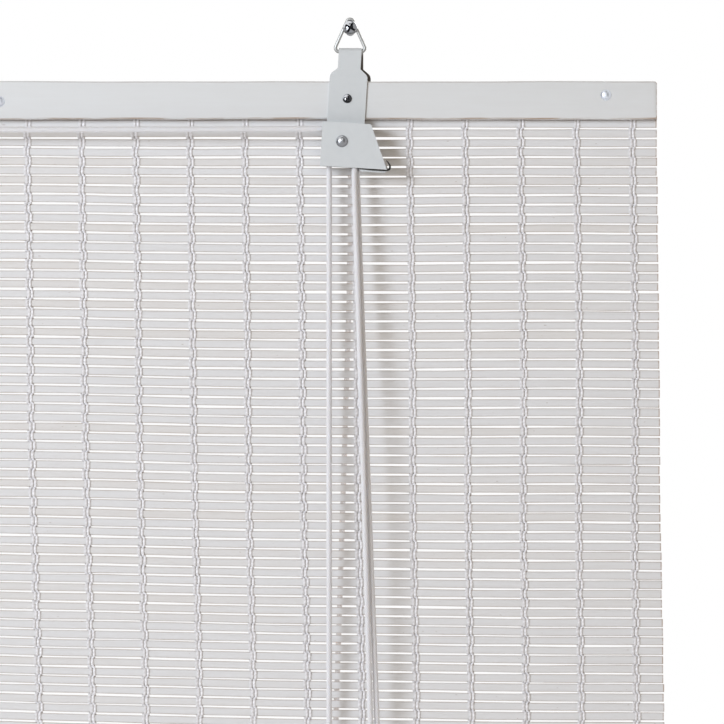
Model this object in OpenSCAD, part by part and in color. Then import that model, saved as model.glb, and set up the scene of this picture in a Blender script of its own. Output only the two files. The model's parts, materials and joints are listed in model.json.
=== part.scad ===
// White bamboo roll-up blind, hung by two wire rings on two screws.
// X runs along the blind, Y points into the wall and Z is up. The origin lies on the wall,
// midway between the two screws. The lower part of the mat is wound in a roll at the back.

/* [Slat mat] */
// Width of the blind
blind_w = 600; // [480:10:900]
// Height of one slat
slat_h = 3.2; // [2.8:0.1:3.6]
// Thickness of one slat
slat_t = 1.2; // [0.9:0.1:1.5]
// Gap between two slats
slat_gap = 1.15; // [0.8:0.05:1.5]
// Number of slats that always hang below the head laths
top_slats = 9; // [9:1:14]
// Number of slats that hang now and wind up as the roll climbs
fall_slats = 72; // [40:1:90]
// Number of slats in the roll
wound_slats = 92; // [60:1:400]
// Distance between two columns of warp threads
warp_pitch = 25; // [20:1:40]
// Width of a pair of warp threads
thread_w = 2.6; // [1.6:0.1:3.2]
// Height of a warp thread above the face of the slats
thread_t = 0.5; // [0.3:0.05:0.6]
// Air between two turns of the roll
turn_gap = 1; // [0.8:0.1:1.6]

/* [Laths and nails] */
// Height of a lath
lath_h = 17.5; // [16:0.5:22]
// Thickness of a lath
lath_t = 5; // [4:0.5:7]
// Rounding of a lath's long edges
lath_edge_r = 0.8; // [0.3:0.1:1.5]
// Rounding of the corners at a lath's ends
lath_corner_r = 2; // [1:0.5:4]
// Diameter of a nail's head
nail_head_d = 5; // [4:0.5:6]
// Height of a nail's head
nail_head_h = 1.3; // [0.8:0.1:1.8]
// Diameter of a nail's shank
nail_d = 1.6; // [1.2:0.1:2]
// Distance of the end nails from the ends of the laths
nail_inset = 23.3; // [12:0.1:60]
// Depth of the end nails below the top edge of the head laths
end_nail_drop = 6.4; // [5:0.1:12]
// Depth of the middle nail below the top edge of the head laths
middle_nail_drop = 9.4; // [5:0.1:12]

/* [Rings and screws] */
// Distance between the two hanging screws
hanger_span = 320; // [240:10:420]
// Diameter of the ring's wire
wire_d = 1.6; // [1.2:0.1:2]
// Outer width of the ring
ring_w = 14.9; // [14:0.1:18]
// Bend radius at the top of the ring, at the middle of the wire
ring_apex_r = 1.5; // [1.2:0.1:2]
// Bend radius at the lower corners of the ring, at the middle of the wire
ring_corner_r = 1.8; // [1.4:0.1:2.4]
// Height of a screw's axis above the ring's bar
ring_h = 10.9; // [9:0.1:14]
// Diameter of a hanging screw in the wall
screw_d = 3.5; // [3:0.1:4.2]
// Diameter of a hanging screw's head
screw_head_d = 6.7; // [6.2:0.1:8]
// Height of a hanging screw's head
screw_head_h = 2.6; // [2:0.1:3.4]
// Length of a hanging screw in the wall
screw_grip = 28; // [16:1:40]

/* [Brackets] */
// Thickness of the sheet
sheet_t = 0.8; // [0.6:0.1:1.2]
// Width of the strap's neck at the ring
neck_w = 10.4; // [9:0.1:11]
// Length of the neck below the ring's bar
neck_h = 7.8; // [6:0.1:9]
// Width of the strap over the laths
strap_w = 17.2; // [15:0.1:20]
// Lean of the front leg of the lock's strap, in degrees
strap_lean = 3.5; // [0:0.5:5]
// Offset of the back leg of the lock's strap to the right
back_shift = 0.8; // [0:0.1:1]
// Depth of the top edge of the laths below the ring's bar
lath_drop = 13.4; // [12.5:0.1:18]
// Depth of the strap screw below the top edge of the laths
strap_screw_drop = 8.1; // [6:0.1:10]
// Diameter of a strap screw's head
strap_screw_head_d = 4.2; // [3.6:0.1:6]
// Diameter of a strap screw's shank
strap_screw_d = 2.4; // [2:0.1:3]
// Distance of the back leg from the wall
wall_gap = 0.2; // [0:0.1:1]

/* [Cord lock and pulley] */
// Diameter of the cord
cord_d = 2.5; // [2:0.1:2.6]
// Radius of a wheel at the middle of the cord in its groove
pitch_r = 5.85; // [5:0.05:6.2]
// Height of a wheel's rim above the middle of the cord
rim_h = 0.75; // [0.5:0.05:1]
// Diameter of an axle
axle_d = 3; // [2.4:0.1:3.6]
// Diameter of an axle's domed head
axle_head_d = 5.5; // [5:0.1:7]
// Gap between the cord on a wheel and the top of its housing
wrap_gap = 0.6; // [0.4:0.1:1.5]
// Gap between the lift cord and the left side of the lock's housing
lift_gap = 1.4; // [0.8:0.1:3]
// Gap between the pull strands and the floor of the lock's housing
floor_gap = 1.9; // [1.2:0.1:2.5]
// Gap between the lift cord and the sides of the pulley's housing
pulley_gap = 2.4; // [1.2:0.1:4]
// Offset of the lock's axle to the left of its strap
axle_shift = 1.2; // [0:0.1:2]
// Gap between the bottom edge of the laths and the top of the housings
housing_gap = 1.9; // [1:0.1:2.4]
// Height of the lock's housing
housing_h = 20.2; // [19:0.1:23]
// Reach of the lock's housing to the right at its top
housing_top_right = 11.5; // [11:0.1:13]
// Reach of the rounded toe beyond the lower right corner of the lock's housing
toe_reach = 1.8; // [1:0.1:3]
// Reach of the lock's housing to the right at its bottom
housing_low_right = 20; // [19:0.1:23]
// Height of the pulley's housing
pulley_housing_h = 17; // [16:0.5:22]
// Radius of the locking roller
roller_r = 3.5; // [3:0.1:3.8]
// Number of ridges on the locking roller
roller_ridges = 20; // [12:1:28]

/* [Pull strands and knob] */
// Length of the pull strands below the lock's axle
pull_l = 280; // [200:5:400]
// Distance of the knob to the right of the lock's axle
pull_reach = 15; // [8:0.5:20]
// Largest diameter of the knob
knob_d = 13; // [10:0.5:18]
// Height of the knob
knob_h = 25; // [18:1:34]

/* [Hidden] */
$fn = 48;

// Colours
white_bamboo = [0.84, 0.84, 0.84];
white_paint = [0.83, 0.83, 0.84];
white_steel = [0.78, 0.80, 0.81];
white_cord = [0.83, 0.83, 0.85];
bright_steel = [0.75, 0.76, 0.78];
zinc = [0.62, 0.64, 0.67];
nylon = [0.88, 0.88, 0.86];

// Clearances
fit_gap = 0.05;
bar_gap = 0.1;
hang_gap = 0.3;
side_gap = 0.15;
groove_gap = 0.2;
rest_gap = 0.3;
sling_gap = 0.2;
core_gap = 0.4;
slot_gap = 0.1;
join_gap = 0.1;
port_gap = 0.75;
hole_gap = 0.2;
groove_wall = 0.4;
flange_w = 0.35;
cut = 1;

// Shares: screw shanks and tips, cross slots of the heads, bite in the back lath, rivets and the knob
shank_share = 0.8;
slot_w_share = 0.14;
slot_l_share = 0.55;
slot_depth_share = 0.45;
screw_turn = 30;
tip_share = 0.2;
nail_bite = 0.7;
screw_bite = 0.6;
strap_head_share = 0.36;
dome_share = 0.32;
peened_share = 0.8;
core_bar_share = 0.4;
knob_belly = 0.35;
knob_collar = 0.9;

// Planes from the wall to the room
y_back_leg = -wall_gap - sheet_t;
y_back_mid = -wall_gap - sheet_t / 2;
y_back_lath = y_back_leg - lath_t;
y_mat = y_back_lath - slat_t;
y_mat_mid = y_mat + slat_t / 2;
y_front_lath = y_mat - lath_t;
y_leg = y_front_lath - sheet_t;
y_leg_mid = y_leg + sheet_t / 2;
groove_r = cord_d / 2 + groove_gap;
groove_pitch = 2 * groove_r + groove_wall;
wheel_w = groove_pitch + 2 * groove_r + 2 * flange_w;
y_wheel = y_leg - side_gap - wheel_w / 2;
y_groove_back = y_wheel + groove_pitch / 2;
y_groove_front = y_wheel - groove_pitch / 2;
y_housing_in = y_wheel - wheel_w / 2 - side_gap;
y_housing = y_housing_in - sheet_t;

// The ring's bar, the strap's loop round it, and the heights of the head
loop_in_r = wire_d / 2 + bar_gap;
loop_mid_r = loop_in_r + sheet_t / 2;
y_bar = y_leg + loop_in_r + sheet_t;
z_bar = -ring_h;
z_lath_top = z_bar - lath_drop;
z_lath_low = z_lath_top - lath_h;
z_bend = z_lath_top + sheet_t;
z_cord_hole = z_lath_low - cord_d - hole_gap;
z_back_low = z_cord_hole - cord_d;
hanger_x = hanger_span / 2;

// The ring's legs pass its screw at ring_reach, and its top bend lies ring_rise above the screw's axis
ring_reach = screw_d * shank_share / 2 + hang_gap + wire_d / 2;
ring_corner = [ring_w / 2 - wire_d / 2 - ring_corner_r, z_bar + ring_corner_r];
function ring_leg_a(z) =
    let (d = ring_corner - [0, z])
    atan2(d[1], d[0]) + acos((ring_apex_r - ring_corner_r) / norm(d));
function apex_rise(z, n) = n == 0 ? z : apex_rise((ring_reach - ring_apex_r) / sin(ring_leg_a(z)), n - 1);
rise_steps = 8;
ring_rise = apex_rise(ring_reach, rise_steps);

// Wheels, and the reach of the housings round them
cord_r = cord_d / 2;
wheel_r = pitch_r + rim_h;
housing_left = axle_shift + pitch_r + cord_r + lift_gap + sheet_t;
pulley_housing_w = 2 * (pitch_r + cord_r + pulley_gap + sheet_t);
floor_u = pitch_r - axle_shift + cord_r + floor_gap;

// Depths in a bracket's own plane, below the ring's bar
v_screw = -lath_drop - strap_screw_drop;
v_lath_low = -lath_drop - lath_h;
v_housing_top = v_lath_low - housing_gap;
v_housing_low = v_housing_top - housing_h;
v_axle = v_housing_top - sheet_t - wrap_gap - cord_r - pitch_r;

// A point of the leaning lock bracket's plane, as x and z
function lock_point(u, v) = [
    hanger_x + u * cos(strap_lean) + v * sin(strap_lean),
    z_bar - u * sin(strap_lean) + v * cos(strap_lean)
];
lock_axle_at = lock_point(-axle_shift, v_axle);
lock_screw_at = lock_point(0, v_screw);
pulley_axle_at = [-hanger_x, lock_axle_at[1]];
pulley_screw_at = [-hanger_x, z_bar + v_screw];
z_cross = lock_axle_at[1] + pitch_r;

// The mat, and the roll that the rest of it is wound in
slat_pitch = slat_h + slat_gap;
clamped_slats = floor(lath_h / slat_pitch);
columns = 1 + round((blind_w - warp_pitch) / warp_pitch);
column_x = [for (k = [0 : columns - 1]) (k - (columns - 1) / 2) * warp_pitch];
core_bar_w = 1.2;
core_bar_t = slat_t * core_bar_share;
turn_pitch = slat_t + turn_gap;
turn_rate = turn_pitch / 360;
core_r = norm([lath_h / 2, slat_t / 2 + slot_gap + lath_t]);
inner_r = core_r + core_gap + slat_t / 2;
wound_length = wound_slats * slat_pitch;
outer_r = sqrt(inner_r * inner_r + turn_pitch * wound_length / PI);
z_top_end = z_lath_low - top_slats * slat_pitch;
z_roll = z_top_end - fall_slats * slat_pitch;
y_roll = y_mat_mid + outer_r;
sling_r = outer_r + slat_t / 2 + thread_t + sling_gap + cord_d / 2;

// Radius of the mat's middle at a length s into the roll, and the angle wound up to there
function wound_r(s) = sqrt(outer_r * outer_r - turn_pitch * s / PI);
function wound_a(s) = 180 + (outer_r - wound_r(s)) / turn_rate;

// The mat's end leaves the inmost turn in a bend and runs between the bottom laths
tail_bend_r = 3;
tail_bend_a = asin(tail_bend_r / (inner_r - tail_bend_r));
tail_a = wound_a(wound_length) + tail_bend_a;
grooved_slats = ceil(2 * PI * outer_r / slat_pitch);
roll_groove = slat_t / 3;

// Slope of the lock housing's right flank, and where the roller rests between it and the floor
floor_drop = 0.6;
flank_run = [housing_low_right - housing_top_right, -housing_h];
flank_dir = flank_run / norm(flank_run);
flank_in = [flank_dir[1], -flank_dir[0]];
v_floor = v_housing_low - floor_drop;
roller_v = v_floor + roller_r + rest_gap;
roller_u = housing_top_right
    - (sheet_t + roller_r + rest_gap - flank_in[1] * (roller_v - v_housing_top)) / -flank_in[0];
port_h = cord_d + 2 * port_gap;

// Routes of the two pull strands below the lock's wheel, held taut to the right
pull_start_x = lock_axle_at[0] + pitch_r;
pull_lead = 4;
pull_steps = 6;
strand_gap = 1.2;
pair_turn = 30;
pair_dir = [cos(pair_turn), sin(pair_turn), 0];
knob_at = [lock_axle_at[0] + pull_reach, y_groove_front - hole_gap - strand_gap, lock_axle_at[1] - pull_l];
function pull_route(y, side) =
    let (
        from = [pull_start_x, y, lock_axle_at[1] - pull_lead],
        to = knob_at + side * (cord_d + strand_gap) / 2 * pair_dir
    )
    [
        [pull_start_x, y, lock_axle_at[1]],
        for (i = [0 : pull_steps]) from + (to - from) * i / pull_steps
    ];
tube_sides = 8;

// Points on an arc
function arc(c, r, a0, a1, n) =
    [for (i = [0 : n]) let (a = a0 + (a1 - a0) * i / n) c + r * [cos(a), sin(a)]];

// Rounded corner at b between the points a and c
function fillet(a, b, c, r, n = 6) =
    let (
        d0 = (a - b) / norm(a - b),
        d1 = (c - b) / norm(c - b),
        half = acos(d0 * d1) / 2,
        mid = b + (d0 + d1) / norm(d0 + d1) * r / sin(half),
        p0 = b + d0 * r / tan(half) - mid,
        p1 = b + d1 * r / tan(half) - mid,
        a0 = atan2(p0[1], p0[0]),
        turn = atan2(p0[0] * p1[1] - p0[1] * p1[0], p0 * p1)
    )
    arc(mid, r, a0, a0 + turn, n);

// Point i of a path, moved to the left of the path by s, with mitred bends
function left_of(a, b) = let (d = (b - a) / norm(b - a)) [-d[1], d[0]];
function moved(path, i, s) =
    let (
        last = len(path) - 1,
        m = left_of(path[max(i - 1, 0)], path[max(i, 1)])
            + left_of(path[min(i, last - 1)], path[min(i + 1, last)])
    )
    path[i] + m * (2 * s / (m * m));

// Outline of a strip between two lines that run s0 and s1 to the left of a path
function strip(path, s0, s1) = concat(
    [for (i = [0 : len(path) - 1]) moved(path, i, s0)],
    [for (i = [len(path) - 1 : -1 : 0]) moved(path, i, s1)]
);

// Round tube along a route, with its first and last rings square to the route
function ring_frame(route, i) =
    let (
        d = route[min(i + 1, len(route) - 1)] - route[max(i - 1, 0)],
        side = cross(d, [0, 1, 0]) / norm(cross(d, [0, 1, 0])),
        up = cross(side, d) / norm(d)
    )
    [side, up];
function tube_points(route, r) = [
    for (i = [0 : len(route) - 1])
        let (f = ring_frame(route, i))
        for (k = [0 : tube_sides - 1])
            let (a = 360 * k / tube_sides)
            route[i] + r * (cos(a) * f[0] + sin(a) * f[1])
];
function tube_faces(rings) = concat(
    [[for (k = [tube_sides - 1 : -1 : 0]) k]],
    [
        for (i = [0 : rings - 2], k = [0 : tube_sides - 1])
            let (n = (k + 1) % tube_sides, b = i * tube_sides)
            [b + k, b + n, b + tube_sides + n, b + tube_sides + k]
    ],
    [[for (k = [0 : tube_sides - 1]) (rings - 1) * tube_sides + k]]
);
module tube(route, d) {
    polyhedron(tube_points(route, d / 2), tube_faces(len(route)));
}

// A flat outline in x and z, thickened from y to y + t
module plate(y, t) {
    translate([0, y + t, 0])
        rotate([90, 0, 0])
            linear_extrude(t)
                children();
}

// An outline in y and z, drawn out along X
module along_x(x, w) {
    translate([x, 0, 0])
        rotate([90, 0, 90])
            linear_extrude(w)
                children();
}

// A round pin along Y, from y to y + l
module pin_y(at, y, d, l) {
    translate([at[0], y + l, at[1]])
        rotate([90, 0, 0])
            cylinder(d = d, h = l);
}

// A domed head that faces the room, seated at y
module dome_y(at, y, d, h) {
    ball_r = (d * d / 4 + h * h) / (2 * h);
    translate([at[0], y, at[1]])
        rotate([90, 0, 0])
            rotate_extrude()
                intersection() {
                    translate([0, h - ball_r])
                        circle(ball_r);
                    square([d / 2, h]);
                }
}

// A straight run of cord
module cord_run(from, to) {
    d = to - from;
    translate(from)
        rotate([0, acos(d[2] / norm(d)), atan2(d[1], d[0])])
            cylinder(d = cord_d, h = norm(d));
}

// A bend of cord over a wheel, between two angles from +X towards +Z
module cord_wrap(at, y, a0, a1) {
    translate([at[0], y, at[1]])
        rotate([90, 0, 0])
            rotate([0, 0, a0])
                rotate_extrude(angle = a1 - a0)
                    translate([pitch_r, 0])
                        circle(d = cord_d);
}

// Rings and screws
module hanging_screw(x) {
    seat = y_bar - wire_d / 2 - hang_gap;
    body_l = screw_grip * (1 - tip_share);
    slot = [screw_head_d * slot_l_share, 2 * screw_head_h * slot_depth_share, screw_head_d * slot_w_share];
    color(bright_steel)
        difference() {
            union() {
                dome_y([x, 0], seat, screw_head_d, screw_head_h);
                pin_y([x, 0], seat, screw_d * shank_share, -seat);
                pin_y([x, 0], 0, screw_d, body_l);
                translate([x, body_l, 0])
                    rotate([-90, 0, 0])
                        cylinder(d1 = screw_d, d2 = screw_d * tip_share, h = screw_grip * tip_share);
            }
            for (a = [screw_turn, screw_turn + 90])
                translate([x, seat - screw_head_h, 0])
                    rotate([0, a, 0])
                        cube(slot, center = true);
        }
}
module hanging_screw_left() {
    hanging_screw(-hanger_x);
}
module hanging_screw_right() {
    hanging_screw(hanger_x);
}

module wire_bend(c, r, a0, a1) {
    translate([c[0], 0, c[1]])
        rotate([90, 0, 0])
            rotate([0, 0, a0])
                rotate_extrude(angle = a1 - a0)
                    translate([r, 0])
                        circle(d = wire_d);
}
// The legs are let a little into the ends of the bends
leg_let_in = 0.2;
leg_d = wire_d - 0.06;
module hanger_ring(x) {
    half = ring_corner[0];
    leg_a = ring_leg_a(ring_rise);
    normal = [cos(leg_a), sin(leg_a)];
    leg_low = ring_corner + ring_corner_r * normal;
    leg_l = norm([0, ring_rise] + ring_apex_r * normal - leg_low);
    color(bright_steel)
        translate([x, y_bar, 0]) {
            translate([-half, 0, z_bar])
                rotate([0, 90, 0])
                    cylinder(d = wire_d, h = 2 * half);
            wire_bend([0, ring_rise], ring_apex_r, leg_a, 180 - leg_a);
            for (side = [0, 1])
                mirror([side, 0, 0]) {
                    wire_bend(ring_corner, ring_corner_r, -90, leg_a);
                    translate([leg_low[0], 0, leg_low[1]])
                        rotate([0, -leg_a, 0])
                            translate([0, 0, -leg_let_in])
                                cylinder(d = leg_d, h = leg_l + 2 * leg_let_in);
                }
        }
}
module hanger_ring_left() {
    hanger_ring(-hanger_x);
}
module hanger_ring_right() {
    hanger_ring(hanger_x);
}

// Head laths and nails
nail_rows = [
    [-blind_w / 2 + nail_inset, end_nail_drop],
    [0, middle_nail_drop],
    [blind_w / 2 - nail_inset, end_nail_drop]
];
nail_length = lath_t + slat_t + lath_t * nail_bite;
module rounded_square(w, h, r) {
    corners = [[0, 0], [w, 0], [w, h], [0, h]];
    polygon([for (i = [0 : 3]) each fillet(corners[(i + 3) % 4], corners[i], corners[(i + 1) % 4], r)]);
}

// A lath with its back face at y = 0 and its lower edge at z = 0
module lath() {
    intersection() {
        along_x(-blind_w / 2, blind_w)
            translate([-lath_t, 0])
                rounded_square(lath_t, lath_h, lath_edge_r);
        plate(-lath_t - cut, lath_t + 2 * cut)
            translate([-blind_w / 2, 0])
                rounded_square(blind_w, lath_h, lath_corner_r);
    }
}

// Nails with their heads seated at y = 0, measured from the top edge of the laths
module nails(d, l) {
    for (n = nail_rows)
        pin_y([n[0], lath_h - n[1]], 0, d, l);
}
module nail_set() {
    for (n = nail_rows)
        dome_y([n[0], lath_h - n[1]], 0, nail_head_d, nail_head_h);
    nails(nail_d, nail_length);
}
module head_holes() {
    translate([0, y_front_lath - cut, z_lath_low])
        nails(nail_d + 2 * fit_gap, nail_length + cut + fit_gap);
    for (at = [lock_screw_at, pulley_screw_at])
        pin_y(at, y_leg - cut, strap_screw_d + 2 * fit_gap, strap_screw_length + cut + fit_gap);
}
module head_lath_front() {
    color(white_paint)
        difference() {
            translate([0, y_mat, z_lath_low])
                lath();
            head_holes();
        }
}
module head_lath_back() {
    color(white_paint)
        difference() {
            translate([0, y_back_leg, z_lath_low])
                lath();
            head_holes();
        }
}
module head_nails() {
    color(zinc)
        translate([0, y_front_lath, z_lath_low])
            nail_set();
}

// Straps: a strip bent round the ring's bar, cut to its outline in front and behind
strap_screw_length = sheet_t + lath_t + slat_t + lath_t * screw_bite;
y_split = y_bar + loop_in_r + sheet_t;
bend_from_bar = [y_back_mid - y_bar, z_bend - z_bar];
loop_end_a = atan2(bend_from_bar[1], bend_from_bar[0]) + acos(loop_mid_r / norm(bend_from_bar));
function strap_path(z_low) = concat(
    [[y_leg_mid, z_low]],
    arc([y_bar, z_bar], loop_mid_r, 180, loop_end_a, 16),
    [[y_back_mid, z_bend], [y_back_mid, z_back_low]]
);

// Right-hand half of a strap's outline, with sloping rounded shoulders
shoulder_a = 40;
shoulder_r = 3;
function strap_half(v_low) =
    let (
        neck = [neck_w / 2, -neck_h],
        peak = [strap_w / 2, -neck_h - (strap_w - neck_w) / 2 * tan(shoulder_a)]
    )
    concat(
        [[neck_w / 2, wire_d + 2 * sheet_t], neck],
        fillet(neck, peak, [strap_w / 2, v_low], shoulder_r),
        [[strap_w / 2, v_low]]
    );
module strap_outline(v_low) {
    half = strap_half(v_low);
    polygon(concat(half, [for (i = [len(half) - 1 : -1 : 0]) [-half[i][0], half[i][1]]]));
}
lock_outline = [
    [-housing_left, v_housing_low], [-housing_left, v_housing_top],
    [housing_top_right, v_housing_top], [housing_low_right, v_housing_low]
];
pulley_outline = [
    [-pulley_housing_w / 2, v_housing_top - pulley_housing_h], [-pulley_housing_w / 2, v_housing_top],
    [pulley_housing_w / 2, v_housing_top], [pulley_housing_w / 2, v_housing_top - pulley_housing_h]
];
module strap(x, lean, shift, base, screw_at, axle_at) {
    reach = 2 * housing_low_right;
    z_low = z_bar + v_housing_low - reach;
    color(white_steel)
        difference() {
            intersection() {
                along_x(x - reach, 2 * reach)
                    polygon(strip(strap_path(z_low), -sheet_t / 2, sheet_t / 2));
                translate([x, 0, z_bar]) {
                    rotate([0, lean, 0])
                        plate(y_leg - cut, y_split - y_leg + cut) {
                            strap_outline(v_housing_top - sheet_t);
                            polygon(base);
                        }
                    plate(y_split - sheet_t, sheet_t - y_split + cut)
                        translate([shift, 0])
                            strap_outline(z_back_low - z_bar);
                }
            }
            pin_y(screw_at, y_leg - cut, strap_screw_d + 2 * fit_gap, sheet_t + 2 * cut);
            pin_y(axle_at, y_leg - cut, axle_d + 2 * fit_gap, sheet_t + 2 * cut);
            pin_y([x, z_cord_hole], y_back_leg - cut, cord_d + 2 * fit_gap, sheet_t + 2 * cut);
        }
}
module lock_strap() {
    strap(hanger_x, strap_lean, back_shift, lock_outline, lock_screw_at, lock_axle_at);
}
module pulley_strap() {
    strap(-hanger_x, 0, 0, pulley_outline, pulley_screw_at, pulley_axle_at);
}
module strap_screw(at) {
    head_h = strap_screw_head_d * strap_head_share;
    slot = [
        strap_screw_head_d * slot_l_share, 2 * head_h * slot_depth_share, strap_screw_head_d * slot_w_share
    ];
    color(zinc)
        difference() {
            union() {
                dome_y(at, y_leg, strap_screw_head_d, head_h);
                pin_y(at, y_leg, strap_screw_d, strap_screw_length);
            }
            for (a = [screw_turn, screw_turn + 90])
                translate([at[0], y_leg - head_h, at[1]])
                    rotate([0, a, 0])
                        cube(slot, center = true);
        }
}
module lock_strap_screw() {
    strap_screw(lock_screw_at);
}
module pulley_strap_screw() {
    strap_screw(pulley_screw_at);
}

// Lock housing: a flared tray, open below, with a rounded toe and a floor lip under the roller
module at_lock() {
    translate([hanger_x, 0, z_bar])
        rotate([0, strap_lean, 0])
            children();
}
toe_r = 1.8;
toe_h = 4;
toe_lap = 1;
toe_gap = 0.6;
module lock_housing() {
    low = v_floor - sheet_t;
    kink = lock_outline[3] + flank_dir * toe_h / flank_dir[1];
    walls = [lock_outline[0], lock_outline[1], lock_outline[2], kink];
    toe = concat(
        [kink - flank_dir * toe_lap, kink],
        fillet(kink, [housing_low_right + toe_reach, low], [floor_u, low], toe_r),
        [[floor_u, low]]
    );
    color(white_steel)
        difference() {
            at_lock() {
                plate(y_housing, sheet_t)
                    polygon(lock_outline);
                plate(y_housing, y_leg - y_housing)
                    polygon(strip(walls, 0, -sheet_t));
                plate(y_housing_in + toe_gap, y_leg - y_housing_in - toe_gap)
                    polygon(strip(toe, 0, -sheet_t));
            }
            translate([lock_axle_at[0] - 2 * housing_left, y_housing_in, z_cross - port_h / 2])
                cube([2 * housing_left - pitch_r, port_h, port_h]);
            pin_y(lock_axle_at, y_housing - cut, axle_d + 2 * fit_gap, sheet_t + 2 * cut);
        }
}

// Pulley housing: a plain tray, open below, with a port for the crossing cord
module pulley_housing() {
    color(white_steel)
        difference() {
            translate([-hanger_x, 0, z_bar]) {
                plate(y_housing, sheet_t)
                    polygon(pulley_outline);
                plate(y_housing, y_leg - y_housing)
                    polygon(strip(pulley_outline, 0, -sheet_t));
            }
            translate([-hanger_x, y_housing_in, z_cross - port_h / 2])
                cube([pulley_housing_w, port_h, port_h]);
            pin_y(pulley_axle_at, y_housing - cut, axle_d + 2 * fit_gap, sheet_t + 2 * cut);
        }
}

// Axles: rivets through the housing, the wheel and the strap
module axle(at) {
    color(zinc) {
        dome_y(at, y_housing, axle_head_d, axle_head_d * dome_share);
        pin_y(at, y_housing, axle_d, y_leg + sheet_t - y_housing);
        pin_y(at, y_leg + sheet_t, axle_head_d * peened_share, sheet_t);
    }
}
module lock_axle() {
    axle(lock_axle_at);
}
module pulley_axle() {
    axle(pulley_axle_at);
}

// Wheels with two round-bottomed grooves
module wheel(at) {
    color(nylon)
        translate([at[0], y_wheel, at[1]])
            rotate([90, 0, 0])
                rotate_extrude()
                    difference() {
                        translate([axle_d / 2 + fit_gap, -wheel_w / 2])
                            square([wheel_r - axle_d / 2 - fit_gap, wheel_w]);
                        for (side = [-1, 1])
                            translate([pitch_r, side * groove_pitch / 2]) {
                                circle(groove_r);
                                translate([0, -groove_r])
                                    square([rim_h + cut, 2 * groove_r]);
                            }
                    }
}
module lock_wheel() {
    wheel(lock_axle_at);
}
module pulley_wheel() {
    wheel(pulley_axle_at);
}

// Locking roller: a ridged pin that is loose in the housing and lies on the floor lip
ridge_h = 0.25;
module lock_roller() {
    n = 2 * roller_ridges;
    color(zinc)
        at_lock()
            translate([roller_u, 0, roller_v])
                plate(y_wheel - wheel_w / 2, wheel_w)
                    polygon([
                        for (i = [0 : n - 1])
                            let (r = roller_r - ridge_h * (i % 2))
                            r * [cos(360 * i / n), sin(360 * i / n)]
                    ]);
}

// Cords: from the knot behind each strap, down the back, under the roll and up to the wheel
y_cord_back = y_back_leg + sheet_t + cord_d / 2;
lift_x = [pulley_axle_at[0] - pitch_r, lock_axle_at[0] - pitch_r];
knot_x = [-hanger_x, hanger_x];
knot_d = 4.2;
bend_d = cord_d + 2 * sling_gap;
back_from_roll = [y_cord_back - y_roll, z_cord_hole - z_roll];
sling_end_a = atan2(back_from_roll[1], back_from_roll[0]) - acos(sling_r / norm(back_from_roll));
sling_end = [y_roll, z_roll] + sling_r * [cos(sling_end_a), sin(sling_end_a)];
module cord_knot(x) {
    color(white_cord) {
        translate([x, y_back_leg - knot_d / 2, z_cord_hole])
            sphere(d = knot_d);
        pin_y([x, z_cord_hole], y_back_leg - knot_d / 2, cord_d, y_cord_back - y_back_leg + knot_d / 2);
        translate([x, y_cord_back, z_cord_hole])
            sphere(d = bend_d);
    }
}
module cord_back(from_x, to_x) {
    from = [from_x, y_cord_back, z_cord_hole];
    to = [to_x, sling_end[0], sling_end[1]];
    color(white_cord)
        difference() {
            cord_run(from, to + (from - to) * join_gap / norm(from - to));
            translate(from)
                sphere(d = bend_d + 2 * fit_gap);
        }
}
module cord_sling(x) {
    color(white_cord)
        translate([x, y_roll, z_roll])
            rotate([90, 0, 90])
                rotate([0, 0, 180])
                    rotate_extrude(angle = 180 + sling_end_a)
                        translate([sling_r, 0])
                            circle(d = cord_d);
}
module cord_front(x, y, z) {
    color(white_cord)
        cord_run([x, y_roll - sling_r, z_roll + join_gap], [x, y, z]);
}
module left_cord_knot() {
    cord_knot(knot_x[0]);
}
module left_cord_back() {
    cord_back(knot_x[0], lift_x[0]);
}
module left_cord_sling() {
    cord_sling(lift_x[0]);
}
module left_cord_front() {
    cord_front(lift_x[0], y_groove_front, pulley_axle_at[1]);
}
module left_cord_cross() {
    color(white_cord) {
        cord_wrap(pulley_axle_at, y_groove_front, 90, 180);
        cord_run([pulley_axle_at[0], y_groove_front, z_cross], [lock_axle_at[0], y_groove_front, z_cross]);
        cord_wrap(lock_axle_at, y_groove_front, 0, 90);
    }
}
module left_cord_pull() {
    color(white_cord)
        tube(pull_route(y_groove_front, -1), cord_d);
}
module right_cord_knot() {
    cord_knot(knot_x[1]);
}
module right_cord_back() {
    cord_back(knot_x[1], lift_x[1]);
}
module right_cord_sling() {
    cord_sling(lift_x[1]);
}
module right_cord_front() {
    cord_front(lift_x[1], y_groove_back, lock_axle_at[1]);
}
module right_cord_wrap() {
    color(white_cord)
        cord_wrap(lock_axle_at, y_groove_back, 0, 180);
}
module right_cord_pull() {
    color(white_cord)
        tube(pull_route(y_groove_back, 1), cord_d);
}

// Pull knob: a turned acorn that the two strands end in
knob_top_r = 4;
knob_low_r = 3;
knob_edge_r = 1;
knob_belly_r = 6;
module pull_knob() {
    belly = [knob_d / 2, knob_h * knob_belly];
    collar = [knob_top_r, knob_h * knob_collar];
    low = [knob_low_r, 0];
    color(white_paint)
        translate(knob_at - [0, 0, knob_h])
            rotate_extrude()
                polygon(concat(
                    [[0, 0]],
                    fillet([0, 0], low, belly, knob_edge_r),
                    fillet(low, belly, collar, knob_belly_r),
                    [collar, [knob_top_r, knob_h], [0, knob_h]]
                ));
}

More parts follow.
